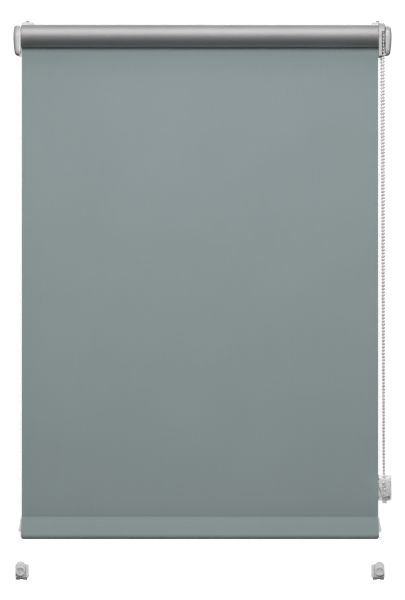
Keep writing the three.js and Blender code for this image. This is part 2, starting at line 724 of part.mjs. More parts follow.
// The chain runs over the sprocket, down the front, round the tensioner's pulley and up the back.
function chainRoute() {
  const top = new THREE.Vector2(axis[0], axis[1]);
  const foot = new THREE.Vector2(-TENSIONER_OUT, tensionerZ);
  const apart = foot.clone().sub(top);
  const down = Math.atan2(apart.y, apart.x);
  const open = Math.acos((sprocketPitch - pulleyPitch) / apart.length());
  const place = (centre, radius, angle, x) => new THREE.Vector3(
    x,
    centre.x + radius * Math.cos(angle),
    centre.y + radius * Math.sin(angle),
  );
  const arc = (centre, radius, from, to, steps, x) => Array.from({ length: steps + 1 }, (_, i) => (
    place(centre, radius, from + ((to - from) * i) / steps, x)
  ));
  const over = arc(top, sprocketPitch, down + open, down - open + 2 * Math.PI, 14, chainX);
  const under = arc(foot, pulleyPitch, down - open, down + open, 8, tensionerX);
  const straight = (from, to, steps) => Array.from({ length: steps - 1 }, (_, i) => (
    from.clone().lerp(to, (i + 1) / steps)
  ));
  const front = straight(over.at(-1), under[0], 18);
  const back = straight(under.at(-1), over[0], 18);
  const route = [...over, ...front, ...under, ...back];
  const close = over[0].clone().sub(back.at(-1)).setLength(GAP);
  return [...route, over[0].clone().sub(close)];
}

function tensioner() {
  const x = tensionerX;
  const y = -TENSIONER_OUT;
  const z = tensionerZ;
  const PLATE_X = [-13.2, 14];
  const PLATE_Z = [-21.3, 25.9];
  const plateX = PLATE_X.map((v) => x + v);
  const plateZ = PLATE_Z.map((v) => z + v);
  const SCREW_X = [-8.8, 9.4];
  const screwZ = z - 14.6;
  let plate = prism('y', roundedRectangle(...plateX, ...plateZ, 2), -FLANGE, 0);
  for (const offset of SCREW_X) {
    plate = plate.subtract(rod('y', SCREW_RADIUS + RUNNING, -FLANGE - 1, 1, [x + offset, screwZ], 12));
  }
  piece('tensioner_plate', plate, 'clear');
  SCREW_X.forEach((offset, i) => {
    const fixing = screw('y', [x + offset, screwZ], -GAP, -FLANGE - GAP, PAN_HEAD);
    piece(`tensioner_screw_${i + 1}`, fixing, 'steel');
  });

  const CHEEK = 1.5;
  const cheekIn = grooveHalf + 1.2;
  const cheekOut = cheekIn + CHEEK;
  const SHELL_FRONT = y - 13;
  const SHELL_WALL = 1.4;
  const cheekY = [SHELL_FRONT + SHELL_WALL + GAP, -FLANGE - GAP];
  const cheekZ = [z - 5.5, z + 11];
  const TAIL_X = [-3, 5.8];
  const yoke = block([x - cheekOut, x + cheekOut], cheekY, cheekZ)
    .subtract(block([x - cheekIn, x + cheekIn], [cheekY[0] - 1, cheekY[1] - 2.7],
      [cheekZ[0] - 1, cheekZ[1] + 1]))
    .add(block(TAIL_X.map((v) => x + v), [cheekY[1] - 5, cheekY[1]], [z - 26.2, cheekZ[0] + 1]))
    .subtract(rod('x', SCREW_RADIUS + RUNNING, x - cheekOut - 1, x + cheekOut + 1, [y, z], 16));
  piece('tensioner_yoke', yoke, 'clear');
  const axle = rod('x', SCREW_RADIUS, x - cheekOut + GAP, x + cheekOut - GAP, [y, z], 16);
  piece('tensioner_axle', axle, 'steel');

  const FLANGE_RADIUS = 6.9;
  const groove = pulleyPitch - beadRadius - 0.55;
  const wheel = grooveHalf + 0.8;
  const bearing = SCREW_RADIUS + RUNNING;
  const pulley = turned('x', [
    [bearing, x - wheel],
    [FLANGE_RADIUS, x - wheel],
    [FLANGE_RADIUS, x - grooveHalf],
    [groove, x - grooveHalf],
    [groove, x + grooveHalf],
    [FLANGE_RADIUS, x + grooveHalf],
    [FLANGE_RADIUS, x + wheel],
    [bearing, x + wheel],
    [bearing, x - wheel],
  ], [y, z], 24);
  piece('tensioner_pulley', pulley, 'white');

  const SHELL_TOP = 24;
  const KNEE = 6;
  const SHELL_BOTTOM = -14;
  const WIDE = 10.8;
  const NARROW = 4.8;
  const vee = (inset) => polygon([
    [x - WIDE + inset, z + SHELL_TOP + inset],
    [x - WIDE + inset, z + KNEE],
    [x - NARROW + inset, z + SHELL_BOTTOM + inset],
    [x + NARROW - inset, z + SHELL_BOTTOM + inset],
    [x + WIDE - inset, z + KNEE],
    [x + WIDE - inset, z + SHELL_TOP + inset],
  ]);
  const SHELL_BACK = sheetMiddle - HEM_THICKNESS / 2 - HEM_RUN;
  const shell = prism('y', vee(0), SHELL_FRONT, SHELL_BACK)
    .subtract(prism('y', vee(SHELL_WALL), SHELL_FRONT + SHELL_WALL, SHELL_BACK + 1));
  piece('tensioner_shroud', shell, 'clear');
}

// ---------------------------------------------------------------- feet that clamp under the sash

function foot(name, side, cordX) {
  const at = (inward) => cordX - side * inward;
  const span = (a, b) => [Math.min(at(a), at(b)), Math.max(at(a), at(b))];
  const BASE = [-9.6, 15.3];
  const BASE_OUT = 16;
  const LEDGE = 2;
  const SIDE_PLATE = 4.8;
  const knobZ = sashBottom + KNOB_RISE;
  const base = block(span(...BASE), [-FLANGE, 0], [sashBottom - LEDGE, sashBottom + 22])
    .add(block(span(...BASE), [-BASE_OUT, seatBack], [sashBottom - LEDGE, sashBottom]))
    .add(block(span(BASE[1] - SIDE_PLATE, BASE[1]), [-BASE_OUT, -FLANGE + 0.5],
      [sashBottom - LEDGE, sashBottom + 21.2]));
  const screwX = at(2.3);
  const screwHole = rod('z', SCREW_RADIUS + RUNNING, sashBottom - LEDGE - 1, sashBottom + 1,
    [screwX, clampScrewY], 12);
  piece(`foot_base_${name}`, base.subtract(screwHole), 'white');

  const KNOB_FRONT = -21;
  const bodyY = [-BASE_OUT + 1, -FLANGE - GAP];
  const dome = new THREE.Shape();
  dome.moveTo(cordX + DOME_RADIUS, sashBottom + GAP);
  dome.lineTo(cordX + DOME_RADIUS, sashBottom + DOME_RISE - DOME_RADIUS);
  dome.absarc(cordX, sashBottom + DOME_RISE - DOME_RADIUS, DOME_RADIUS, 0, Math.PI);
  dome.lineTo(cordX - DOME_RADIUS, sashBottom + GAP);
  const body = prism('y', dome, ...bodyY, 10)
    .subtract(rod('y', SPINDLE + RUNNING, bodyY[0] - 1, bodyY[1] - 3, [cordX, knobZ]))
    .subtract(cordHole(cordX, knobZ, sashBottom + DOME_RISE + 1));
  piece(`foot_body_${name}`, body, 'white');

  const RECESS = 6.2;
  const knob = turned('y', [
    [0, bodyY[1] - 3 - GAP],
    [SPINDLE, bodyY[1] - 3 - GAP],
    [SPINDLE, bodyY[0] - GAP],
    [KNOB_RADIUS, bodyY[0] - GAP],
    [KNOB_RADIUS, KNOB_FRONT + 0.8],
    [KNOB_RADIUS - 0.8, KNOB_FRONT],
    [RECESS, KNOB_FRONT],
    [RECESS, KNOB_FRONT + 4],
    [0, KNOB_FRONT + 4],
  ], [cordX, knobZ], 24)
    .add(block([cordX - 1.1, cordX + 1.1], [KNOB_FRONT + 0.6, KNOB_FRONT + 4.5],
      [knobZ - RECESS - 0.5, knobZ + RECESS + 0.5]));
  piece(`foot_knob_${name}`, knob, 'white');

  const clawTop = sashBottom - LEDGE - GAP;
  const CLAW_RISE = 12;
  const LIP = 4.7;
  const CLAW = [-9, 13.2];
  const NOTCH = 3; // half the width of the open slot round the screw
  const claw = prism('x', polygon([
    [-BASE_OUT + 2, clawTop],
    [-BASE_OUT + 2, clawTop - LIP],
    [-BASE_OUT + 8, clawTop - LIP],
    [-BASE_OUT + 8, clawTop - STRIP],
    [clawBack + STRIP, clawTop - STRIP],
    [clawBack + STRIP, sashBottom + CLAW_RISE],
    [clawBack, sashBottom + CLAW_RISE],
    [clawBack, clawTop],
  ]), ...span(...CLAW))
    .subtract(block([screwX - NOTCH, screwX + NOTCH],
      [-BASE_OUT - 1, clampScrewY + CLAW_TRAVEL + SCREW_RADIUS + RUNNING],
      [clawTop - LIP - 1, clawTop + 1]));
  piece(`foot_claw_${name}`, claw, 'rubber');
  const pad = block(span(CLAW[0] + 2, CLAW[1] - 2), [SASH_THICKNESS, SASH_THICKNESS + PAD],
    [sashBottom + 1, sashBottom + CLAW_RISE - 1]);
  piece(`foot_pad_${name}`, pad, 'rubber');

  const seat = clawTop - STRIP - GAP;
  const clampScrew = screw('z', [screwX, clampScrewY], sashBottom - GAP, seat, WIDE_HEAD);
  piece(`foot_screw_${name}`, clampScrew, 'steel');
}

// ---------------------------------------------------------------- assembly

roller();
idleEnd();
driveEnd();
idleBracket();
driveBracket();
chainGuard();
headHook('left');
headHook('right');
clothAndHem();
guideCord('left', cordLeft);
guideCord('right', cordRight);
piece('bead_chain', tube(chainRoute(), beadRadius), 'clear');
tensioner();
foot('left', -1, cordLeft);
foot('right', 1, cordRight);

export default blind;
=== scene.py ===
"""A chain-driven roller blind clamped to a window sash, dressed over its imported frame."""
import json
import math

import bmesh
import bpy
import numpy as np
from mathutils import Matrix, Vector


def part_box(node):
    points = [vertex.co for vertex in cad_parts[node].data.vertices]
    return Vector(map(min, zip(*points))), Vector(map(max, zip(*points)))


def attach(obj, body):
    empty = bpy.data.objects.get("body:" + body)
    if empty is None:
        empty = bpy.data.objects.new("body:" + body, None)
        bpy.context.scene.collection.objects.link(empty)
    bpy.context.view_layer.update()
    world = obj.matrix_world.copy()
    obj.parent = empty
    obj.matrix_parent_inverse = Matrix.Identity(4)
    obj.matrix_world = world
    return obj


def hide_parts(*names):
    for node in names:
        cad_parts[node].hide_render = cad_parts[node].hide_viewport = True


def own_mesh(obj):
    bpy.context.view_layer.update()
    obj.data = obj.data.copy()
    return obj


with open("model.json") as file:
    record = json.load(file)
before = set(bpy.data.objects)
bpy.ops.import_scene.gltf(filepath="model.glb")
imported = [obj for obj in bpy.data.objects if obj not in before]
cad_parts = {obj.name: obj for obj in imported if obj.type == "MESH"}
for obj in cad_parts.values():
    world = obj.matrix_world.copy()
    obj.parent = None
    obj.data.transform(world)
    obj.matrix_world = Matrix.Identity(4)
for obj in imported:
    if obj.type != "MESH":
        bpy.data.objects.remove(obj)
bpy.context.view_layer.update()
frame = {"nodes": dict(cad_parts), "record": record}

MM = 0.001
TURN = 2 * math.pi


# ------------------------------------------------------ places read from the frame, in millimetres

class Extent:
    """The box of one node: x, y and z as (low, high), with the middle of each."""

    def __init__(self, node):
        low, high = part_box(node)
        self.x, self.y, self.z = ((low[i] / MM, high[i] / MM) for i in range(3))
        self.mid = [(low[i] + high[i]) / 2 / MM for i in range(3)]


roll = Extent("fabric_roll")
sheet = Extent("fabric_sheet")
pocket = Extent("hem_pocket")
guard = Extent("chain_guard")
chain = Extent("bead_chain")
pulley = Extent("tensioner_pulley")
plate = Extent("tensioner_plate")
shroud = Extent("tensioner_shroud")
bar = Extent("bottom_bar")
axis_y, axis_z = roll.mid[1], roll.mid[2]
roll_radius = (roll.z[1] - roll.z[0]) / 2
sheet_y = sheet.mid[1]
ENDS = {"left": -1, "right": 1}


# ------------------------------------------------------ camera

VIEW_DISTANCE = 10000
VIEW_HEIGHT = 1111.8  # of the field at the cloth
VIEW_CENTRE_Z = -488.1
SENSOR = 36


def make_camera():
    data = bpy.data.cameras.new("camera")
    data.sensor_width = SENSOR
    data.lens = SENSOR * VIEW_DISTANCE / VIEW_HEIGHT
    data.clip_end = 100
    camera = bpy.data.objects.new("camera", data)
    camera.location = Vector((0, sheet_y - VIEW_DISTANCE, VIEW_CENTRE_Z)) * MM
    camera.rotation_euler = (math.radians(90), 0, 0)
    bpy.context.scene.collection.objects.link(camera)
    bpy.context.scene.camera = camera


make_camera()


# ------------------------------------------------------ mesh helpers, in millimetres

def make(name, points, faces, finish, smooth_angle=35, marks=None):
    """A piece from points and faces, with faces pointing out and edges sharper than the angle kept crisp."""
    mesh = bpy.data.meshes.new(name)
    mesh.from_pydata([tuple(c * MM for c in p) for p in points], [], faces)
    finishes = finish if isinstance(finish, (list, tuple)) else [finish]
    for material in finishes:
        mesh.materials.append(material)
    if marks is not None:
        mesh.polygons.foreach_set("material_index", marks)
    tidy_mesh(mesh, smooth_angle)
    piece = bpy.data.objects.new(name, mesh)
    bpy.context.scene.collection.objects.link(piece)
    return piece


def tidy_mesh(mesh, smooth_angle):
    """Joins doubled points, turns the faces outwards and keeps edges sharper than the angle crisp."""
    form = bmesh.new()
    form.from_mesh(mesh)
    bmesh.ops.remove_doubles(form, verts=form.verts, dist=1e-6)
    bmesh.ops.recalc_face_normals(form, faces=form.faces)
    form.to_mesh(mesh)
    form.free()
    mesh.polygons.foreach_set("use_smooth", [True] * len(mesh.polygons))
    mesh.set_sharp_from_angle(angle=math.radians(smooth_angle))
    mesh.update()


def loft(rings, closed=True, caps=True):
    """Faces between rings of equally many points, closed round each ring and capped if asked."""
    count = len(rings[0])
    points = [p for ring in rings for p in ring]
    around = count if closed else count - 1
    faces = []
    for i in range(len(rings) - 1):
        here, there = i * count, (i + 1) * count
        for j in range(around):
            k = (j + 1) % count
            faces.append((here + j, here + k, there + k, there + j))
    if caps and closed:
        faces.append(tuple(range(count)))
        last = (len(rings) - 1) * count
        faces.append(tuple(last + j for j in range(count)))
    return points, faces


def place(direction, u, v, w):
    """A point at u, v across and w along a direction, in the order x, y, z."""
    return {"x": (w, u, v), "y": (u, w, v), "z": (u, v, w)}[direction]


def slab(direction, outline, low, high):
    """An outline in the plane across a direction, carried from low to high."""
    return loft([[place(direction, u, v, w) for u, v in outline] for w in (low, high)])


def block(x, y, z):
    """A box between pairs of limits."""
    return slab("x", [(y[0], z[0]), (y[1], z[0]), (y[1], z[1]), (y[0], z[1])], *x)


def arc(centre, radius, start, end, steps):
    """Points of an arc, in degrees, both ends included."""
    turn = [math.radians(start + (end - start) * i / steps) for i in range(steps + 1)]
    return [(centre[0] + radius * math.cos(a), centre[1] + radius * math.sin(a)) for a in turn]


def circle(centre, radius, sides=16):
    """Points of a whole circle."""
    return arc(centre, radius, 0, 360 * (sides - 1) / sides, sides - 1)


def rounded_box_outline(u, v, radius, steps=6):
    """A rectangle from u[0], v[0] to u[1], v[1] with rounded corners."""
    corners = [(u[1], v[0], -90), (u[1], v[1], 0), (u[0], v[1], 90), (u[0], v[0], 180)]
    outline = []
    for cu, cv, start in corners:
        middle = (cu - math.copysign(radius, cu - sum(u) / 2), cv - math.copysign(radius, cv - sum(v) / 2))
        outline += arc(middle, radius, start, start + 90, steps)
    return outline


def join(*parts):
    """Several sets of points and faces as one."""
    points, faces = [], []
    for more_points, more_faces in parts:
        shift = len(points)
        points += more_points
        faces += [tuple(i + shift for i in face) for face in more_faces]
    return points, faces


def bevel(piece, width, segments=2, angle=35):
    """Rounded edges wherever two faces meet more sharply than the angle."""
    rounding = piece.modifiers.new("edges", "BEVEL")
    rounding.width = width * MM
    rounding.segments = segments
    rounding.limit_method = "ANGLE"
    rounding.angle_limit = math.radians(angle)
    rounding.miter_outer = "MITER_ARC"
    rounding.harden_normals = False
    weights = piece.modifiers.new("shading", "WEIGHTED_NORMAL")
    weights.keep_sharp = False
    for polygon in piece.data.polygons:
        polygon.use_smooth = True
    return piece


def cut(piece, *cutters):
    """Cuts the cutters' shapes out of a piece, and removes them."""
    for points, faces in cutters:
        tool = make("cutter", points, faces, plain_tool)
        modifier = piece.modifiers.new("cut", "BOOLEAN")
        modifier.operation = "DIFFERENCE"
        modifier.solver = "EXACT"
        modifier.object = tool
        apply_modifiers(piece)
        bpy.data.objects.remove(tool)
    tidy_mesh(piece.data, 35)
    return piece


def apply_modifiers(piece):
    """Makes a piece's modifiers part of its mesh."""
    bpy.context.view_layer.update()
    evaluated = piece.evaluated_get(bpy.context.evaluated_depsgraph_get())
    mesh = bpy.data.meshes.new_from_object(evaluated)
    piece.modifiers.clear()
    piece.data = mesh


def ride(piece, body, slot, *nodes):
    """Seats a piece on its body and hides the nodes that it stands for; the slot is not used."""
    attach(piece, body)
    if nodes:
        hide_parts(*nodes)
    return piece


# ------------------------------------------------------ shader groups

def new_group(name, inputs, outputs):
    """An empty shader group with its sockets: {name: (type, default)} going in, {name: type} coming out."""
    group = bpy.data.node_groups.new(name, "ShaderNodeTree")
    for socket, (kind, default) in inputs.items():
        made = group.interface.new_socket(socket, in_out="INPUT", socket_type=f"NodeSocket{kind}")
        made.default_value = default
    for socket, kind in outputs.items():
        group.interface.new_socket(socket, in_out="OUTPUT", socket_type=f"NodeSocket{kind}")
    return group, group.nodes.new("NodeGroupInput"), group.nodes.new("NodeGroupOutput")


def node(tree, kind, values=None, **settings):
    """A node of a kind, with its settings, and its sockets set or linked from values."""
    made = tree.nodes.new(kind)
    for key, value in settings.items():
        setattr(made, key, value)
    for socket, value in (values or {}).items():
        if isinstance(value, bpy.types.NodeSocket):
            tree.links.new(value, made.inputs[socket])
        else:
            made.inputs[socket].default_value = value
    return made


def math_node(tree, operation, first, second=0.5, clamp=False):
    values = {0: first, 1: second}
    return node(tree, "ShaderNodeMath", values, operation=operation, use_clamp=clamp).outputs[0]


def mixed(tree, share, first, second):
    made = node(tree, "ShaderNodeMix", {0: share, 6: first, 7: second}, data_type="RGBA")
    return made.outputs[2]


def noise(tree, where, scale, detail=2.0, roughness=0.5):
    values = {"Vector": where, "Scale": scale, "Detail": detail, "Roughness": roughness}
    return node(tree, "ShaderNodeTexNoise", values).outputs["Fac"]


def stretched(tree, where, scale):
    return node(tree, "ShaderNodeMapping", {"Vector": where, "Scale": scale}).outputs["Vector"]


def weave_group():
    """A plain weave of warp and weft threads with slubs. Height for a bump, shade for the colour."""
    group, into, out = new_group(
        "plain_weave",
        {
            "Position": ("Vector", (0, 0, 0)),
            "Threads": ("Float", 2200.0),
            "Slub": ("Float", 0.3),
        },
        {"Height": "Float", "Shade": "Float"},
    )
    where, threads = into.outputs["Position"], into.outputs["Threads"]
    scaled = node(group, "ShaderNodeVectorMath", {0: where, 3: threads}, operation="SCALE").outputs[0]
    parts = node(group, "ShaderNodeSeparateXYZ", {0: scaled})
    warp = math_node(group, "SINE", parts.outputs["X"])
    weft = math_node(group, "SINE", parts.outputs["Z"])
    over = math_node(group, "MULTIPLY", warp, weft)
    warp_slub = noise(group, stretched(group, where, (900, 900, 14)), 1.0, 3.0)
    weft_slub = noise(group, stretched(group, where, (14, 14, 900)), 1.0, 3.0)
    slubs = math_node(group, "SUBTRACT", math_node(group, "ADD", warp_slub, weft_slub), 1.0)
    uneven = math_node(group, "MULTIPLY", slubs, into.outputs["Slub"])
    height = math_node(group, "ADD", math_node(group, "MULTIPLY", over, 0.5), uneven)
    group.links.new(height, out.inputs["Height"])
    shade = math_node(group, "ADD", math_node(group, "MULTIPLY", over, 0.06), uneven)
    group.links.new(shade, out.inputs["Shade"])
    return group


def moulding_group():
    """The skin of a moulded piece: a faint orange peel, flow clouding and fine handling marks."""
    group, into, out = new_group(
        "moulded_skin",
        {
            "Position": ("Vector", (0, 0, 0)),
            "Grain": ("Float", 900.0),
            "Marks": ("Float", 0.5),
        },
        {"Height": "Float", "Cloud": "Float", "Scuff": "Float"},
    )
    where = into.outputs["Position"]
    peel = noise(group, where, into.outputs["Grain"], 2.0, 0.6)
    cloud = noise(group, where, 45.0, 4.0, 0.6)
    lines = noise(group, stretched(group, where, (1600, 260, 1600)), 1.0, 2.0, 0.7)
    sharp = node(group, "ShaderNodeMapRange", {0: lines, 1: 0.6, 2: 0.72, 3: 0.0, 4: 1.0}).outputs[0]
    scuff = math_node(group, "MULTIPLY", sharp, into.outputs["Marks"])
    scored = math_node(group, "MULTIPLY", scuff, -0.4)
    group.links.new(math_node(group, "ADD", peel, scored), out.inputs["Height"])
    group.links.new(cloud, out.inputs["Cloud"])
    group.links.new(scuff, out.inputs["Scuff"])
    return group


def edge_group():
    """Marks sharp outer edges, for a painted highlight, and creases, for painted shade."""
    group, into, out = new_group(
        "edges_and_creases",
        {"Contrast": ("Float", 6.0)},
        {"Edge": "Float", "Crease": "Float"},
    )
    pointed = node(group, "ShaderNodeNewGeometry").outputs["Pointiness"]
    contrast = into.outputs["Contrast"]
    above = math_node(group, "MULTIPLY", math_node(group, "SUBTRACT", pointed, 0.52), contrast, clamp=True)
    below = math_node(group, "MULTIPLY", math_node(group, "SUBTRACT", 0.48, pointed), contrast, clamp=True)
    group.links.new(above, out.inputs["Edge"])
    group.links.new(below, out.inputs["Crease"])
    return group


weave = weave_group()
moulding = moulding_group()
edges = edge_group()


# ------------------------------------------------------ materials

def new_material(name):
    """A material with its Principled shader and the position on the object, in metres."""
    material = bpy.data.materials.new(name)
    material.use_nodes = True
    tree = material.node_tree
    tree.nodes.clear()
    shader = tree.nodes.new("ShaderNodeBsdfPrincipled")
    output = tree.nodes.new("ShaderNodeOutputMaterial")
    tree.links.new(shader.outputs[0], output.inputs["Surface"])
    where = tree.nodes.new("ShaderNodeTexCoord").outputs["Object"]
    return material, tree, shader, where


def set_shader(shader, **values):
    for socket, value in values.items():
        shader.inputs[socket.replace("_", " ")].default_value = value


def bumped(tree, shader, height, distance, strength=1.0):
    bump = node(tree, "ShaderNodeBump", {"Height": height, "Distance": distance * MM, "Strength": strength})
    tree.links.new(bump.outputs[0], shader.inputs["Normal"])


def group_node(tree, group, values):
    return node(tree, "ShaderNodeGroup", values, node_tree=group)


def cloth_material(name, dark, light, threads, rough, bump, metallic=0.0, sheen=0.0, fold=0.0):
    """Woven cloth, shaded between two colours by its slubs and by slow clouding, and darkened by painted
    shade where its mask attribute says.
    """
    material, tree, shader, where = new_material(name)
    woven = group_node(tree, weave, {"Position": where, "Threads": threads, "Slub": 0.35})
    cloud = noise(tree, where, 6.0, 3.0)
    share = math_node(tree, "ADD", math_node(tree, "MULTIPLY", woven.outputs["Shade"], 0.9),
                      math_node(tree, "MULTIPLY", cloud, 0.35), clamp=True)
    share = math_node(tree, "ADD", share, 0.3, clamp=True)
    colour = mixed(tree, share, dark, light)
    # Painted shade: the colour is drawn towards a darker tone by the mask attribute.
    if fold:
        painted_light_mask = node(tree, "ShaderNodeAttribute", attribute_name="fold").outputs["Fac"]
        shade_colour = tuple(c * (1 - fold) for c in dark[:3]) + (1,)
        colour = mixed(tree, math_node(tree, "POWER", painted_light_mask, 1.4, clamp=True), colour, shade_colour)
    tree.links.new(colour, shader.inputs["Base Color"])
    set_shader(shader, Roughness=rough, Metallic=metallic, Sheen_Weight=sheen, Sheen_Roughness=0.5)
    bumped(tree, shader, woven.outputs["Height"], bump, 0.5)
    return material


def plastic_material(name, dark, light, rough, grain=900.0, marks=0.5, clear=0.0, coat=0.0):
    """Moulded plastic: peel and scuffs in its surface, a painted highlight on its edges and painted shade in
    its creases.
    """
    material, tree, shader, where = new_material(name)
    skin = group_node(tree, moulding, {"Position": where, "Grain": grain, "Marks": marks})
    painted_light_mask = group_node(tree, edges, {"Contrast": 5.0})
    clouded = mixed(tree, skin.outputs["Cloud"], dark, light)
    # Painted highlight on sharp outer edges, then painted shade in creases, both from Pointiness.
    edge_highlighted = mixed(tree, math_node(tree, "MULTIPLY", painted_light_mask.outputs["Edge"], 0.5), clouded, light)
    crease_shaded = mixed(tree, math_node(tree, "MULTIPLY", painted_light_mask.outputs["Crease"], 0.6), edge_highlighted, dark)
    tree.links.new(crease_shaded, shader.inputs["Base Color"])
    uneven = math_node(tree, "ADD", math_node(tree, "MULTIPLY", skin.outputs["Scuff"], 0.15), rough)
    tree.links.new(uneven, shader.inputs["Roughness"])
    set_shader(shader, IOR=1.46, Transmission_Weight=clear, Coat_Weight=coat, Coat_Roughness=0.15)
    bumped(tree, shader, skin.outputs["Height"], 0.03, 0.6)
    return material


def metal_material(name, dark, light, rough, brush):
    """Drawn or plated metal with fine lines along the way it was worked."""
    material, tree, shader, where = new_material(name)
    lines = noise(tree, stretched(tree, where, brush), 1.0, 3.0, 0.6)
    cloud = noise(tree, where, 80.0, 3.0)
    tree.links.new(mixed(tree, cloud, dark, light), shader.inputs["Base Color"])
    uneven = math_node(tree, "ADD", math_node(tree, "MULTIPLY", lines, 0.2), rough)
    tree.links.new(uneven, shader.inputs["Roughness"])
    set_shader(shader, Metallic=1.0)
    bumped(tree, shader, lines, 0.01, 0.5)
    return material


def grey(dark, light, tint=1.0):
    """Two greys, the blue of each turned down by a tint."""
    return (dark, dark, dark * tint, 1), (light, light, light * tint, 1)


CLOTH_THREADS = 9000.0
STRING_THREADS = 12000.0
FINE_GRAIN = 1500.0
RUBBER_GRAIN = 1400.0

plain_tool = bpy.data.materials.new("cutter")
cloth_face = cloth_material("cloth_face", (0.177, 0.215, 0.217, 1), (0.231, 0.276, 0.278, 1),
                            CLOTH_THREADS, 0.85, 0.05, sheen=0.15)
cloth_doubled = cloth_material("cloth_doubled", (0.220, 0.264, 0.265, 1), (0.280, 0.333, 0.334, 1),
                               CLOTH_THREADS, 0.85, 0.05, sheen=0.1, fold=0.6)
cloth_back = cloth_material("cloth_coating", *grey(0.36, 0.50), CLOTH_THREADS, 0.64, 0.006, metallic=0.92)
white_plastic = plastic_material("white_plastic", *grey(0.42, 0.53, 0.995), 0.4, clear=0.2, coat=0.2)
clear_plastic = plastic_material("clear_plastic", (0.94, 0.95, 0.95, 1), (0.98, 0.98, 0.98, 1), 0.12,
                                 clear=0.92)
smoky_plastic = plastic_material("smoky_plastic", *grey(0.74, 0.86), 0.3, clear=0.5)
frosted_plastic = plastic_material("frosted_plastic", *grey(0.70, 0.84, 0.997), 0.34, clear=0.3, coat=0.1)
bead_plastic = plastic_material("bead_plastic", *grey(0.42, 0.56), 0.25, FINE_GRAIN, 0.2, coat=0.3)
nylon = plastic_material("nylon_cord", (0.86, 0.87, 0.87, 1), (0.95, 0.95, 0.95, 1), 0.2, FINE_GRAIN, 0.2,
                         clear=0.7)
grey_plastic = plastic_material("grey_plastic", *grey(0.20, 0.30), 0.5)
rubber = plastic_material("grey_rubber", *grey(0.06, 0.11), 0.7, RUBBER_GRAIN)
aluminium = metal_material("aluminium", (0.70, 0.71, 0.72, 1), (0.80, 0.81, 0.82, 1), 0.3, (20, 1500, 1500))
steel = metal_material("steel", (0.55, 0.56, 0.57, 1), (0.68, 0.69, 0.70, 1), 0.25, (900, 900, 900))
string = cloth_material("chain_string", *grey(0.36, 0.48, 0.988), STRING_THREADS, 0.8, 0.05)

FINISH_OF_SLOT = {
    "white_plastic": white_plastic,
    "clear_plastic": clear_plastic,
    "bead_plastic": bead_plastic,
    "nylon_cord": nylon,
    "cloth_face": cloth_face,
    "cloth_coating": cloth_back,
    "aluminium": aluminium,
    "steel": steel,
    "grey_rubber": rubber,
    "grey_plastic": grey_plastic,
}


# ------------------------------------------------------ guide cords and bead chain

CORD_DIAMETER = 1.2
BEAD_DIAMETER = 4.5
BEAD_PITCH = 6
BEAD_END = 76  # degrees from a bead's waist to the flat round its string
BEAD_RIDGE = 1.03
BEAD_LONG = 1.04  # a bead's length over its width
STRING_DIAMETER = 1.1
SPROCKET_POCKETS = 16
PULLEY_POCKETS = 6
BEAD_PHASE = 5.8  # of the first bead along the loop
# How far each strand hangs off the line of the wheels, along x, at the lower wheel and at the upper one.
STRAND_SWING = {"front": (-0.1, 0.3), "back": (-0.8, -3.0)}
SWING_EASE = (50, 22)  # height over which the strands come back into line at the lower and the upper wheel


def swept(path, radius, sides):
    """A round bar along a line of points, closed at both ends."""
    rings = []
    for i, here in enumerate(path):
        before, after = path[max(i - 1, 0)], path[min(i + 1, len(path) - 1)]
        ahead = (Vector(after) - Vector(before)).normalized()
        side = Vector((1, 0, 0)) if abs(ahead.x) < 0.9 else Vector((0, 1, 0))
        first = ahead.cross(side).normalized()
        second = ahead.cross(first)
        ring = []
        for k in range(sides):
            angle = TURN * k / sides
            ring.append(tuple(Vector(here) + radius * (math.cos(angle) * first + math.sin(angle) * second)))
        rings.append(ring)
    return loft(rings)


def guide_cord(end, steps=40):
    """The taut cord from the bracket's lug to the foot's knob."""
    cord = Extent(f"guide_cord_{end}")
    falls = [cord.z[1] + (cord.z[0] - cord.z[1]) * i / steps for i in range(steps + 1)]
    path = [(cord.mid[0], cord.mid[1], z) for z in falls]
    piece = make(f"cord_{end}", *swept(path, CORD_DIAMETER / 2, 16), nylon)
    ride(piece, "root", "nylon_cord", f"guide_cord_{end}")


def chain_route():
    """The loop over the sprocket, down the front, round the pulley and up the back, evenly spaced."""
    sprocket_x = chain.x[0] + BEAD_DIAMETER / 2
    pulley_x = pulley.mid[0]
    big = SPROCKET_POCKETS * BEAD_PITCH / TURN
    small = PULLEY_POCKETS * BEAD_PITCH / TURN
    top, foot = Vector((axis_y, axis_z)), Vector((pulley.mid[1], pulley.mid[2]))
    apart = foot - top
    down = math.atan2(apart.y, apart.x)
    lean = math.acos((big - small) / apart.length)
    rough = []

    def bend(centre, radius, start, end, x, steps):
        for i in range(steps + 1):
            angle = start + (end - start) * i / steps
            y, z = centre.x + radius * math.cos(angle), centre.y + radius * math.sin(angle)
            rough.append(Vector((x, y, z)))

    bend(top, big, down + lean, down - lean + TURN, sprocket_x, 60)
    bend(foot, small, down - lean, down + lean, pulley_x, 30)
    rough.append(rough[0].copy())
    lengths = [0.0]
    for before, after in zip(rough, rough[1:]):
        lengths.append(lengths[-1] + (after - before).length)
    count = round(lengths[-1] / BEAD_PITCH)
    spots = np.arange(count) * lengths[-1] / count + BEAD_PHASE
    along = [np.interp(np.append(spots, spots[0]), lengths, [p[i] for p in rough]) for i in range(3)]
    upper, lower = axis_z - big, foot.y + small
    ease = np.clip(np.minimum((along[2] - lower) / SWING_EASE[0], (upper - along[2]) / SWING_EASE[1]), 0, 1)
    swing = [np.interp(along[2], (lower, upper), STRAND_SWING[strand]) for strand in ("front", "back")]
    along[0] += ease * np.where(along[1] < (axis_y + foot.x) / 2, *swing)
    return [Vector(p) for p in zip(*along)], lengths[-1]


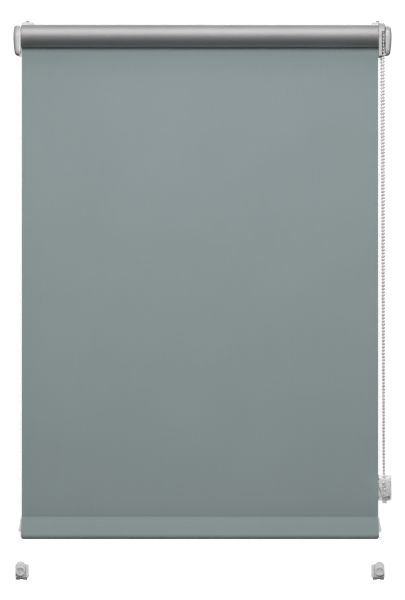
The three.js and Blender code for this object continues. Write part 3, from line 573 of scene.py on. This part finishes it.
def bead(centre, ahead, rings=7, sides=12):
    """One bead with a faint moulding ridge round its middle, strung along its axis."""
    first = ahead.cross(Vector((1, 0, 0))).normalized()
    second = ahead.cross(first)
    radius = BEAD_DIAMETER / 2
    hoops = []
    for i in range(rings):
        angle = math.radians(BEAD_END * (2 * i / (rings - 1) - 1))
        out = radius * math.cos(angle) * (BEAD_RIDGE if i == rings // 2 else 1.0)
        along = radius * BEAD_LONG * math.sin(angle)
        turns = [TURN * k / sides for k in range(sides)]
        hoops.append([tuple(centre + ahead * along + out * (math.cos(a) * first + math.sin(a) * second))
                      for a in turns])
    return loft(hoops)


def bead_chain():
    """The endless chain: every bead, and the string that they are moulded on."""
    spots, length = chain_route()
    beads, links = [], []
    for i, here in enumerate(spots[:-1]):
        before = spots[i - 1] if i else spots[-2]
        ahead = (spots[i + 1] - before).normalized()
        beads.append(bead(here, ahead))
        links.append(tuple(here))
    links.append(tuple(spots[-1]))
    thread = swept(links, STRING_DIAMETER / 2, 8)
    marks = [0] * sum(len(faces) for _, faces in beads) + [1] * len(thread[1])
    piece = make("chain_beads", *join(*beads, thread), [bead_plastic, string], 60, marks)
    ride(piece, "root", "bead_plastic", "bead_chain")


for end in ENDS:
    guide_cord(end)
bead_chain()


# ------------------------------------------------------ wound cloth and hanging cloth

CLOTH = 0.42  # thickness of the cloth
CLOTH_OVER = 0.35  # the cloth runs a little nearer its brackets than its solid
CLOTH_PITCH = 0.47  # from one wound layer to the next
LAP_ROOM = 0.5  # over a layer's pitch, so that the roll turns freely inside the outermost turn
LEAN_HEIGHT = 60  # over which the cloth eases back from the roll to its plumb line
EDGE_CURL = 9  # width of the edges that curl back a little
CURL_DEPTH = 0.7
WELD_FOLD = (3.5, 0.5)  # the last of the cloth leans back into the weld of the hem: height and depth
WELD_ROWS = 4
WOUND_TURNS = 1.75  # below the outermost one
OUTER_TURN = 0.97
CLOTH_LOW = 0.3  # the cloth tucks into the weld below its solid
SLOW_WAVE = (0.16, 61, 170)  # depth of the cloth's gentle waves, and how far they run in x and in z
QUICK_WAVE = (0.12, 23, -240)


def spiral(radius, turns, per_turn=72):
    """Outer and inner edges of a wound strip, from the outside inwards, starting level with the axis."""
    steps = int(turns * per_turn)
    outer, inner = [], []
    for i in range(steps + 1):
        angle = TURN * i / per_turn
        out = radius - CLOTH_PITCH * i / per_turn
        outer.append((axis_y + out * math.cos(angle), axis_z + out * math.sin(angle)))
        inner.append((axis_y + (out - CLOTH) * math.cos(angle), axis_z + (out - CLOTH) * math.sin(angle)))
    return outer, inner


def strip_along_x(outer, inner, x_low, x_high, columns=24):
    """A wound strip as a thin solid: its outside, inside, two long ends and two coiled edges."""
    outline = outer + inner[::-1]
    rings = []
    for i in range(columns + 1):
        x = x_low + (x_high - x_low) * i / columns
        rings.append([(x, y, z) for y, z in outline])
    points, faces = loft(rings, caps=False)
    half, count = len(outer), len(outline)
    last = columns * count
    for j in range(half - 1):
        k = count - 1 - j
        faces.append((j, j + 1, k - 1, k))
        faces.append((last + j, last + j + 1, last + k - 1, last + k))
    return points, faces


def wound_cloth():
    """The turns that go round with the roller, and the outermost one, which the hanging cloth comes off."""
    wound = make("wound_cloth", *strip_along_x(*spiral(roll_radius - CLOTH - LAP_ROOM, WOUND_TURNS), *roll.x),
                 cloth_back, 60)
    ride(wound, "roller", "cloth_coating", "fabric_roll")
    lap = make("outer_turn", *strip_along_x(*spiral(roll_radius, OUTER_TURN), *roll.x), cloth_back, 60)
    ride(lap, "root", "cloth_coating")


def hanging_cloth():
    """The cloth from the roll's back down to the weld of the hem, face to the room, coating to the window."""
    columns, rows = 96, 120
    top_y = axis_y + roll_radius - CLOTH / 2
    left, right = sheet.x[0] - CLOTH_OVER, sheet.x[1] + CLOTH_OVER
    low, high = sheet.z[0] - CLOTH_LOW, axis_z
    xs = [left + (right - left) * (1 - math.cos(math.pi * i / columns)) / 2 for i in range(columns + 1)]
    front, back = [], []
    for j in range(rows + 1):
        above_weld = WELD_FOLD[0] * (rows - j) / WELD_ROWS
        z = high + (low - high) * j / rows if j < rows - WELD_ROWS else low + above_weld
        settle = min((high - z) / LEAN_HEIGHT, 1.0)
        settle = settle * settle * (3 - 2 * settle)
        calm = math.sin(math.pi * j / rows)
        for x in xs:
            edge = max(0.0, 1 - min(x - left, right - x) / EDGE_CURL)
            y = top_y + (sheet_y - top_y) * settle
            for wave, run_x, run_z in (SLOW_WAVE, QUICK_WAVE):
                y += wave * calm * math.sin(x / run_x + z / run_z)
            y += CURL_DEPTH * edge * edge * settle * min((z - low) / LEAN_HEIGHT, 1.0)
            y += WELD_FOLD[1] * max(0.0, 1 - (z - low) / WELD_FOLD[0])
            front.append((x, y - CLOTH / 2, z))
            back.append((x, y + CLOTH / 2, z))
    wide = columns + 1
    shift = len(front)
    faces, marks = [], []
    for j in range(rows):
        for i in range(columns):
            a = j * wide + i
            quad = (a, a + 1, a + wide + 1, a + wide)
            faces.append(quad)
            faces.append(tuple(shift + q for q in reversed(quad)))
            marks += [0, 1]
    rim = [i for i in range(columns)] + [columns + wide * j for j in range(rows)]
    rim += [rows * wide + columns - i for i in range(columns)] + [(rows - j) * wide for j in range(rows)]
    for a, b in zip(rim, rim[1:] + rim[:1]):
        faces.append((a, b, b + shift, a + shift))
        marks.append(0)
    cloth = make("hanging_cloth", front + back, faces, [cloth_face, cloth_back], 60, marks)
    ride(cloth, "root", "cloth_face", "fabric_sheet")
    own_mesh(cloth)


wound_cloth()
hanging_cloth()


# ------------------------------------------------------ spring of the idle pin

SPRING_WIRE = 0.6
SPRING_TURNS = 6


def pin_spring(per_turn=24):
    """A coil of wire along x, in the place of the idle spring."""
    spring, half = Extent("idle_spring"), SPRING_WIRE / 2
    radius = (spring.z[1] - spring.z[0]) / 2 - half
    start, end = spring.x[0] + half, spring.x[1] - half
    path = []
    for i in range(SPRING_TURNS * per_turn + 1):
        angle = TURN * i / per_turn
        along = start + (end - start) * i / (SPRING_TURNS * per_turn)
        y, z = spring.mid[1] + radius * math.cos(angle), spring.mid[2] + radius * math.sin(angle)
        path.append((along, y, z))
    coil = make("pin_spring", *swept(path, half, 8), steel)
    ride(coil, "roller", "steel", "idle_spring")
    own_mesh(coil)


pin_spring()


# ------------------------------------------------------ hem pocket, bar and its ends

HEM_FLARE = 1.4  # the bar's ends push the pocket out past the cloth's edges
HEM_CORNER = 4.5
HEM_FOOT = 9  # height over which the pocket rounds in at the bottom
HEM_SHOULDER = 10
HEM_EDGE = 20  # width over which the flare at each side runs out
HEM_FULL = 0.8  # share of the height at which the flare is full
HEM_COLUMNS = (0, 0.5, 1.2, 2.1, 3.1, HEM_CORNER, 8, HEM_EDGE)  # rings in from either side
HEM_THIN = 0.02
HEM_LIP = 0.65  # half the thickness at the weld, where the folded edge stands proud of the sheet
HEM_STEP = 2.78  # half the thickness where the cloth first meets the bar
WELD_SHADE = 0.42  # painted shade on the cloth just below the weld, fading out down the shoulder


def pocket_half(height_down, total, full):
    """Half the pocket's thickness at a distance below its top."""
    left_over = total - height_down
    if left_over < HEM_FOOT:
        return full * math.sqrt(max(0.0, 1 - (1 - left_over / HEM_FOOT) ** 2))
    share = min(height_down / HEM_SHOULDER, 1.0)
    shoulder = HEM_LIP + (HEM_STEP - HEM_LIP) * math.sin(TURN / 4 * share)
    slope = max(height_down - HEM_SHOULDER, 0.0) / (total - HEM_FOOT - HEM_SHOULDER)
    return shoulder + (full - HEM_STEP) * slope


def pocket_outline(inset, lift=0.0, steps=44):
    """The pocket's section in y and z, down its front and up its back, drawn in by an inset."""
    total = pocket.z[1] - pocket.z[0]
    full = (pocket.y[1] - pocket.y[0]) / 2
    front, back = [], []
    for i in range(steps + 1):
        down = total * (1 - math.cos(math.pi * i / steps)) / 2
        half = max(pocket_half(down, total, full) - inset, HEM_THIN)
        z = pocket.z[1] - down * (total - inset - lift) / total
        front.append((sheet_y - half, z))
        back.append((sheet_y + half, z))
    return front + back[::-1][1:]


def hem(columns=24):
    """The pocket of doubled cloth round the bottom bar, open at both ends, with its corners rounded off."""
    total = pocket.z[1] - pocket.z[0]
    x_low, x_high = pocket.x
    xs = [x_low + (x_high - x_low) * i / columns for i in range(1, columns)]
    xs = sorted(xs + [x_low + d for d in HEM_COLUMNS] + [x_high - d for d in HEM_COLUMNS])
    outer, inner = [], []
    for x in xs:
        from_edge = min(x - x_low, x_high - x)
        missing = max(0.0, HEM_CORNER - from_edge)
        lift = HEM_CORNER - math.sqrt(max(HEM_CORNER ** 2 - missing ** 2, 0.0))
        side = -1 if x - x_low < x_high - x else 1
        pushed = max(0.0, 1 - from_edge / HEM_EDGE)
        ring_out, ring_in = [], []
        for inset, ring in ((0.0, ring_out), (CLOTH, ring_in)):
            for y, z in pocket_outline(inset, lift):
                depth = min(max((pocket.z[1] - z) / (total * HEM_FULL), 0.0), 1.0)
                flare = CLOTH_OVER + HEM_FLARE * pushed * depth
                ring.append((x + side * flare, y, z))
        outer.append(ring_out)
        inner.append(ring_in)
    count = len(outer[0])
    points = [p for ring in outer for p in ring] + [p for ring in inner for p in ring]
    faces, marks = [], []
    shift = len(outer) * count
    for i in range(len(xs) - 1):
        for j in range(count - 1):
            quad = (i * count + j, i * count + j + 1, (i + 1) * count + j + 1, (i + 1) * count + j)
            faces += [quad, tuple(shift + q for q in reversed(quad))]
            marks += [0, 1]
    for i in (0, len(xs) - 1):
        for j in range(count - 1):
            a = i * count + j
            faces.append((a, a + 1, a + 1 + shift, a + shift))
            marks.append(0)
    for j in (0, count - 1):
        for i in range(len(xs) - 1):
            a = i * count + j
            faces.append((a, a + count, a + count + shift, a + shift))
            marks.append(0)
    piece = make("hem_cloth", points, faces, [cloth_doubled, cloth_back], 60, marks)
    lowest = pocket.z[0]
    # Painted shade: darker towards the rounded bottom of the pocket, and a band of painted shade below the
    # weld that fades out down the shoulder.
    painted_shade_share = []
    for vertex in piece.data.vertices:
        up = vertex.co.z / MM - lowest
        share = min((total - up) / HEM_SHOULDER, 1.0)
        painted_shade_share.append(max(0.0, 1 - up / HEM_FOOT, WELD_SHADE * math.cos(TURN / 4 * share)))
    piece.data.attributes.new("fold", "FLOAT", "POINT").data.foreach_set("value", painted_shade_share)
    ride(piece, "hem", "cloth_face", "hem_pocket")


hem()


# ------------------------------------------------------ end covers

COVER_WALL = 1.6
COVER_TOP_ROUND = 24
COVER_BOTTOM_ROUND = 10
COVER_EDGE = 4.5
COVER_SLIM = 0.3  # the cap stands in a little from the solid's outer face
COVER_DROP = 2.6  # the cap reaches a little lower than its solid
COVER_BELLY = 2.4  # and domes in from its fullest line to its front
COVER_FULLEST = (4, -2)  # where the cap stands out most: back from its middle, and its z
COVER_CROWN = 2.2  # it domes in by this much towards its top
COVER_FOOT = 3.2  # and by this much towards its bottom
COVER_RINGS = 8
LATCH = (4.1, 8.5, 1.6, 5.0)  # slot that frees the cap on the drive side: in from its edge, z, width, height
LATCH_DEPTH = 6


def cover_outline(box_y, box_z, inset, steps=12, flats=6):
    """The cover's side view in y and z, from its back at the top round its front to its back below."""
    front, back = box_y[0] + inset, box_y[1]
    low, high = box_z[0] + inset, box_z[1] - inset
    top_round, bottom_round = COVER_TOP_ROUND - inset, COVER_BOTTOM_ROUND - inset
    outline = [(back + (front + top_round - back) * i / flats, high) for i in range(flats)]
    outline += arc((front + top_round, high - top_round), top_round, 90, 180, steps)
    outline += arc((front + bottom_round, low + bottom_round), bottom_round, 180, 270, steps)
    low_flat = back - front - bottom_round
    outline += [(front + bottom_round + low_flat * (i + 1) / flats, low) for i in range(flats)]
    return outline


def end_cover(end):
    """The cap over a bracket: an open shell that domes in from its fullest place."""
    side, cover = ENDS[end], Extent(f"cover_{end}")
    open_x = cover.x[1] if side < 0 else cover.x[0]
    deep = cover.x[1] - cover.x[0] - COVER_SLIM
    belly_y, belly_z = cover.mid[1] + COVER_FULLEST[0], COVER_FULLEST[1]
    span = (cover.z[0] - COVER_DROP, cover.z[1])

    def depth(y, z):
        """How far the cover stands out from the bracket at a place in its side view."""
        ahead = max(0.0, (belly_y - y) / (belly_y - cover.y[0]))
        out = deep - COVER_BELLY * ahead ** 2.2
        if z > belly_z:
            return out - COVER_CROWN * ((z - belly_z) / (span[1] - belly_z)) ** 2
        return out - COVER_FOOT * ((belly_z - z) / (belly_z - span[0])) ** 2

    rings = [[(open_x, y, z) for y, z in cover_outline(cover.y, span, 0)]]
    for i in range(COVER_RINGS + 1):
        angle = TURN / 4 * i / COVER_RINGS
        inset = COVER_EDGE * (1 - math.cos(angle))
        rise = COVER_EDGE * (1 - math.sin(angle))
        rings.append([(open_x + side * (depth(y, z) - rise), y, z)
                      for y, z in cover_outline(cover.y, span, inset)])
    crown = cover_outline(cover.y, span, COVER_EDGE)
    middle = (cover.y[1], (span[0] + span[1]) / 2)
    for i in range(1, COVER_RINGS):
        share = 1 - i / COVER_RINGS
        spots = [(middle[0] + (y - middle[0]) * share, middle[1] + (z - middle[1]) * share) for y, z in crown]
        rings.append([(open_x + side * depth(y, z), y, z) for y, z in spots])
    points, faces = loft(rings, closed=False)
    count = len(rings[0])
    last = (len(rings) - 1) * count
    hub = len(points)
    points.append((open_x + side * depth(*middle), *middle))
    faces += [(last + j, last + j + 1, hub) for j in range(count - 1)]
    piece = make(f"end_cap_{end}", points, faces, white_plastic, 50)
    inside = [sum(p[i] for p in points) / len(points) for i in range(3)]
    shell = piece.modifiers.new("wall", "SOLIDIFY")
    shell.thickness = COVER_WALL * MM
    shell.offset = -1 if outward(piece, inside) else 1
    if end == "right":
        in_by, z, wide, high = LATCH
        x = cover.x[0] + in_by
        slot_y = (cover.y[0] - 1, cover.y[0] + LATCH_DEPTH)
        apply_modifiers(piece)
        cut(piece, block((x - wide / 2, x + wide / 2), slot_y, (z - high / 2, z + high / 2)))
    bevel(piece, 0.35, 2, 50)
    ride(piece, "root", "white_plastic", f"cover_{end}")


def outward(piece, inside):
    """True if the faces of an open shell look away from a point inside it."""
    middle = Vector(inside) * MM
    return sum((face.center - middle).dot(face.normal) * face.area for face in piece.data.polygons) > 0


for end in ENDS:
    end_cover(end)


# ------------------------------------------------------ chain guard, eyelets and tensioner

GUARD_RADIUS = 24.8
GUARD_HOLLOW = 21.3
GUARD_WEB = 1.8
GUARD_SHORT = 0.6  # the guard's rim stands in from its solid's outer face, clear of the cover
GUARD_ROUND = 3
GUARD_DROP = 2.2  # the guard and its lug reach a little lower than their solid
WINDOW = (5.4, 8, 8)  # from the inner face outwards, ahead of the roller's axis, and up to this height
HUB_HOLE = 12.6
LUG_HALF = 2.6
LUG_SLOT = 2.4
LUG_FLOOR = 4.2
LUG_RISE = 10.6
LUG_DEEP = 3.1
FOOT_UP = 2  # from the bottom of the lug to the bottom of the guard
CUT_ROOM = 0.5
STOP_POCKET = 2.2
CORD_HOLE = 0.95


def guard_outline(radius, low, back, steps=48):
    """The guard's side view in y and z: up its front, round over the sprocket and down its back."""
    over = [(min(y, back), z) for y, z in arc((axis_y, axis_z), radius, 180, 0, steps)]
    return [(axis_y - radius, low)] + over + [(min(axis_y + radius, back), low)]


def chain_guard():
    """The housing over the sprocket, open below and ahead for the chain, and the lug for the guide cord."""
    cord, stop = Extent("guide_cord_right"), Extent("cord_stop_right")
    inner_x, outer_x, back = guard.x[0], guard.x[1] - GUARD_SHORT, guard.y[1]
    foot = guard.z[0] + FOOT_UP - GUARD_DROP
    rings = []
    for x, inset in [(inner_x, 0.5), (inner_x + 0.5, 0)]:
        rings.append([(x, y, z) for y, z in guard_outline(GUARD_RADIUS - inset, foot, back)])
    for i in range(7):
        angle = math.radians(90 * i / 6)
        x = outer_x - GUARD_ROUND * (1 - math.sin(angle))
        inset = GUARD_ROUND * (1 - math.cos(angle))
        rings.append([(x, y, z) for y, z in guard_outline(GUARD_RADIUS - inset, foot, back)])
    shell = make("guard_shell", *loft(rings), white_plastic)
    hollow = slab("x", guard_outline(GUARD_HOLLOW, foot - 2, back), inner_x + GUARD_WEB, outer_x + 1)
    window_y = (guard.y[0] - 1, axis_y - WINDOW[1])
    window = block((inner_x + WINDOW[0], outer_x + 1), window_y, (foot - 1, WINDOW[2]))
    hub = slab("x", circle((axis_y, axis_z), HUB_HOLE, 48), inner_x - 1, inner_x + GUARD_WEB + 1)
    cut(shell, hollow, window, hub)
    low, top = guard.z[0] - GUARD_DROP, guard.z[0] + LUG_FLOOR
    cord_x, cord_y = cord.mid[:2]
    lug_x, lug_y = (cord_x - LUG_HALF, cord_x + LUG_HALF), (cord_y - LUG_DEEP, cord_y + LUG_DEEP)
    lug = make("guard_lug", *block(lug_x, lug_y, (low, top + LUG_RISE)), white_plastic)
    slot_x, slot_y = (cord_x - LUG_SLOT / 2, cord_x + LUG_SLOT / 2), (lug_y[0] - 1, lug_y[1] + 1)
    slot = block(slot_x, slot_y, (top, stop.z[1] + CUT_ROOM))
    stop_pocket = slab("z", circle((cord_x, cord_y), STOP_POCKET, 24), top, stop.z[1] + CUT_ROOM)
    hole = slab("z", circle((cord_x, cord_y), CORD_HOLE), low - 1, top + 1)
    cut(lug, slot, stop_pocket, hole)
    for part in (shell, lug):
        bevel(part, 0.4, 3, 40)
        ride(part, "root", "white_plastic", "chain_guard")


EYE_REACH = 6.6  # of the eyelet beyond the edge of the cloth
EYE_ABOVE = 0.9  # it starts a little above the pocket
EYE_HEIGHT = 29
EYE_CORNER = 3
EYE_NOSE = 1.8
EYE_ROOT = 1.5  # it starts inside the pocket
EYE_SLOPE = 3
EYE_BORE = 1.1
EYE_SLIM = 0.5
PLUG_SLIM = 1.1  # the plug is smaller all round than the bar


def eyelet(end):
    """The moulded end of the bottom bar: a plug in the tube and a wedge-shaped eye round the guide cord."""
    side, shape, cord = ENDS[end], Extent(f"bar_end_{end}"), Extent(f"guide_cord_{end}")
    cloth_edge = (sheet.x[0] if side < 0 else sheet.x[1]) + side * CLOTH_OVER
    root_x = cloth_edge - side * EYE_ROOT
    thick = (shape.y[0] + EYE_SLIM, shape.y[1] - EYE_SLIM)
    top = pocket.z[1] + EYE_ABOVE
    low = top - EYE_HEIGHT
    nose_x = cloth_edge + side * (EYE_REACH - CLOTH_OVER - EYE_NOSE)
    outline = [(root_x, top - EYE_SLOPE), (cloth_edge + side * 0.6, top)]
    for i in range(9):
        out, down = math.radians(10 - 100 * i / 8), math.radians(90 * i / 8)
        outline.append((nose_x + side * EYE_NOSE * math.cos(out), low + EYE_CORNER * (1 - math.sin(down))))
    outline.append((root_x, low - 1))
    wedge = make(f"eyelet_{end}", *slab("y", outline, *thick), frosted_plastic)
    cut(wedge, slab("z", circle(cord.mid[:2], EYE_BORE), low - 5, top + 5))
    inner = shape.x[1] if side < 0 else shape.x[0]
    body_y, body_z = ((span[0] + PLUG_SLIM, span[1] - PLUG_SLIM) for span in (bar.y, bar.z))
    plug = make(f"bar_plug_{end}", *block(sorted((inner, root_x + side)), body_y, body_z), clear_plastic)
    for part in (wedge, plug):
        bevel(part, 0.5, 3, 40)
        ride(part, "hem", "clear_plastic", f"bar_end_{end}")


PLATE_OVER = 0.6  # the plate reaches a little further out than its solid
PLATE_CORNER = 2.2
SCREW_HOLE = 1.85
SHROUD_WALL = 1.4
SHROUD_ROUND = 2.2
SHROUD_FOOT = 4.8  # half its width at the bottom
SHROUD_KNEE = 6  # where the vee starts, above the pulley's axis


def shroud_outline(inset):
    """The shroud's front view: a square top over a vee, drawn in by an inset."""
    wide = (shroud.x[1] - shroud.x[0]) / 2
    x, knee = shroud.mid[0], pulley.mid[2] + SHROUD_KNEE
    right = [(x + wide - inset, shroud.z[1] - inset), (x + wide - inset, knee)]
    right.append((x + SHROUD_FOOT - inset, shroud.z[0] + inset))
    left = [(2 * x - u, v) for u, v in reversed(right)]
    return subdivide(right + left, 4)


def subdivide(outline, parts):
    """The same outline with each side in a number of parts."""
    points = []
    for (u0, v0), (u1, v1) in zip(outline, outline[1:] + outline[:1]):
        points += [(u0 + (u1 - u0) * i / parts, v0 + (v1 - v0) * i / parts) for i in range(parts)]
    return points


def tensioner():
    """The tensioner's back plate, and the clear shroud in front of its pulley."""
    outline = rounded_box_outline((plate.x[0], plate.x[1] + PLATE_OVER), plate.z, PLATE_CORNER)
    back_plate = make("tensioner_back", *slab("y", outline, *plate.y), smoky_plastic)
    for screw in (Extent("tensioner_screw_1"), Extent("tensioner_screw_2")):
        hole = circle((screw.mid[0], screw.mid[2]), SCREW_HOLE)
        cut(back_plate, slab("y", hole, plate.y[0] - 1, plate.y[1] + 1))
    bevel(back_plate, 0.45, 3, 40)
    ride(back_plate, "root", "clear_plastic", "tensioner_plate")

    front, rear = shroud.y
    rings = [(front + SHROUD_WALL, SHROUD_WALL), (rear, SHROUD_WALL), (rear, 0)]
    for i in range(7):
        angle = math.radians(90 * i / 6)
        rings.append((front + SHROUD_ROUND * (1 - math.sin(angle)), SHROUD_ROUND * (1 - math.cos(angle))))
    hoops = [[(u, y, v) for u, v in shroud_outline(inset)] for y, inset in rings]
    shell = make("tensioner_shell", *loft(hoops), clear_plastic)
    bevel(shell, 0.3, 2, 50)
    ride(shell, "root", "clear_plastic", "tensioner_shroud")


chain_guard()
for end in ENDS:
    eyelet(end)
tensioner()


# ------------------------------------------------------ carried nodes

EDGE_ROUND = {
    "white_plastic": 0.35,
    "clear_plastic": 0.3,
    "steel": 0.2,
    "aluminium": 0.15,
    "grey_rubber": 0.25,
    "grey_plastic": 0.35,
}
FINISH_OF_NODE = {
    "bracket": frosted_plastic,
    "hook_carrier": frosted_plastic,
    "hook_claw": frosted_plastic,
    "foot_base": frosted_plastic,
    "foot_body": frosted_plastic,
    "foot_knob": frosted_plastic,
    "tensioner_yoke": smoky_plastic,
}


def dress_carried_nodes():
    """Every node still shown gets its slot's finish, rounded edges and smooth rounds."""
    slots = {part["node"]: part["material_slot"] for part in frame["record"]["subparts"]}
    for name, part in frame["nodes"].items():
        if part.hide_render:
            continue
        part.data.materials.clear()
        kind = name.removesuffix("_left").removesuffix("_right")
        part.data.materials.append(FINISH_OF_NODE.get(kind, FINISH_OF_SLOT[slots[name]]))
        normals = part.data.attributes.get("custom_normal")
        if normals:
            part.data.attributes.remove(normals)
        weld = part.modifiers.new("weld", "WELD")
        weld.merge_threshold = 1e-6
        flat = part.modifiers.new("flats", "DECIMATE")
        flat.decimate_type = "DISSOLVE"
        flat.angle_limit = math.radians(1)
        bevel(part, EDGE_ROUND[slots[name]], 2, 32)


dress_carried_nodes()


# ------------------------------------------------------ floor, light and backdrop

FLOOR_Z = -1100
FLOOR_HALF = 9000
SKY_FROM = (-0.5, 0.8)  # heights between which the sky brightens
SKY_LIGHT = (0.03, 0.42)
BACKDROP_LIGHT = 1.1


def make_floor():
    material, tree, shader, where = new_material("floor")
    tint = mixed(tree, noise(tree, where, 3.0), (0.90, 0.90, 0.90, 1), (0.93, 0.93, 0.93, 1))
    tree.links.new(tint, shader.inputs["Base Color"])
    set_shader(shader, Roughness=0.9, Emission_Color=(1, 1, 1, 1), Emission_Strength=0.75)
    half = FLOOR_HALF
    corners = [(-half, -half, FLOOR_Z), (half, -half, FLOOR_Z), (half, half, FLOOR_Z), (-half, half, FLOOR_Z)]
    floor = make("floor", corners, [(0, 1, 2, 3)], material)
    floor.visible_diffuse = False
    floor.visible_glossy = False


def make_light(name, place_mm, target_mm, size, power, diffuse=True, glossy=True):
    data = bpy.data.lights.new(name, "AREA")
    data.shape = "RECTANGLE"
    data.size, data.size_y = (s * MM for s in size)
    data.energy = power
    light = bpy.data.objects.new(name, data)
    light.location = Vector(place_mm) * MM
    aim = (Vector(target_mm) - Vector(place_mm)).normalized()
    light.rotation_euler = aim.to_track_quat("-Z", "Y").to_euler()
    light.visible_diffuse = diffuse
    light.visible_glossy = glossy
    bpy.context.scene.collection.objects.link(light)


def make_world():
    """White to the camera, and a soft sky that dims below to everything else."""
    world = bpy.data.worlds.new("studio")
    bpy.context.scene.world = world
    world.use_nodes = True
    tree = world.node_tree
    tree.nodes.clear()
    where = tree.nodes.new("ShaderNodeTexCoord").outputs["Generated"]
    height = node(tree, "ShaderNodeSeparateXYZ", {0: where}).outputs["Z"]
    values = dict(enumerate((height, *SKY_FROM, *SKY_LIGHT)))
    ramp = node(tree, "ShaderNodeMapRange", values).outputs[0]
    soft = node(tree, "ShaderNodeBackground", {0: (1, 1, 1, 1), 1: ramp})
    white = node(tree, "ShaderNodeBackground", {0: (1, 1, 1, 1), 1: BACKDROP_LIGHT})
    path = tree.nodes.new("ShaderNodeLightPath").outputs
    seen = math_node(tree, "MAXIMUM", path["Is Camera Ray"], path["Is Transmission Ray"])
    both = node(tree, "ShaderNodeMixShader", {0: seen, 1: soft.outputs[0], 2: white.outputs[0]})
    output = tree.nodes.new("ShaderNodeOutputWorld")
    tree.links.new(both.outputs[0], output.inputs[0])


make_floor()
make_world()
make_light("key", (-150, -1300, 1900), (0, 0, -200), (2600, 1400), 7)
make_light("front", (0, -2000, 250), (0, 0, -350), (700, 600), 45, glossy=False)
make_light("sheen", (0, -1750, 1450), (0, 0, -100), (2800, 1700), 47, diffuse=False)
make_light("behind", (600, 2600, 1200), (0, 0, -400), (2000, 1600), 60)
bpy.context.scene.view_settings.view_transform = "Standard"
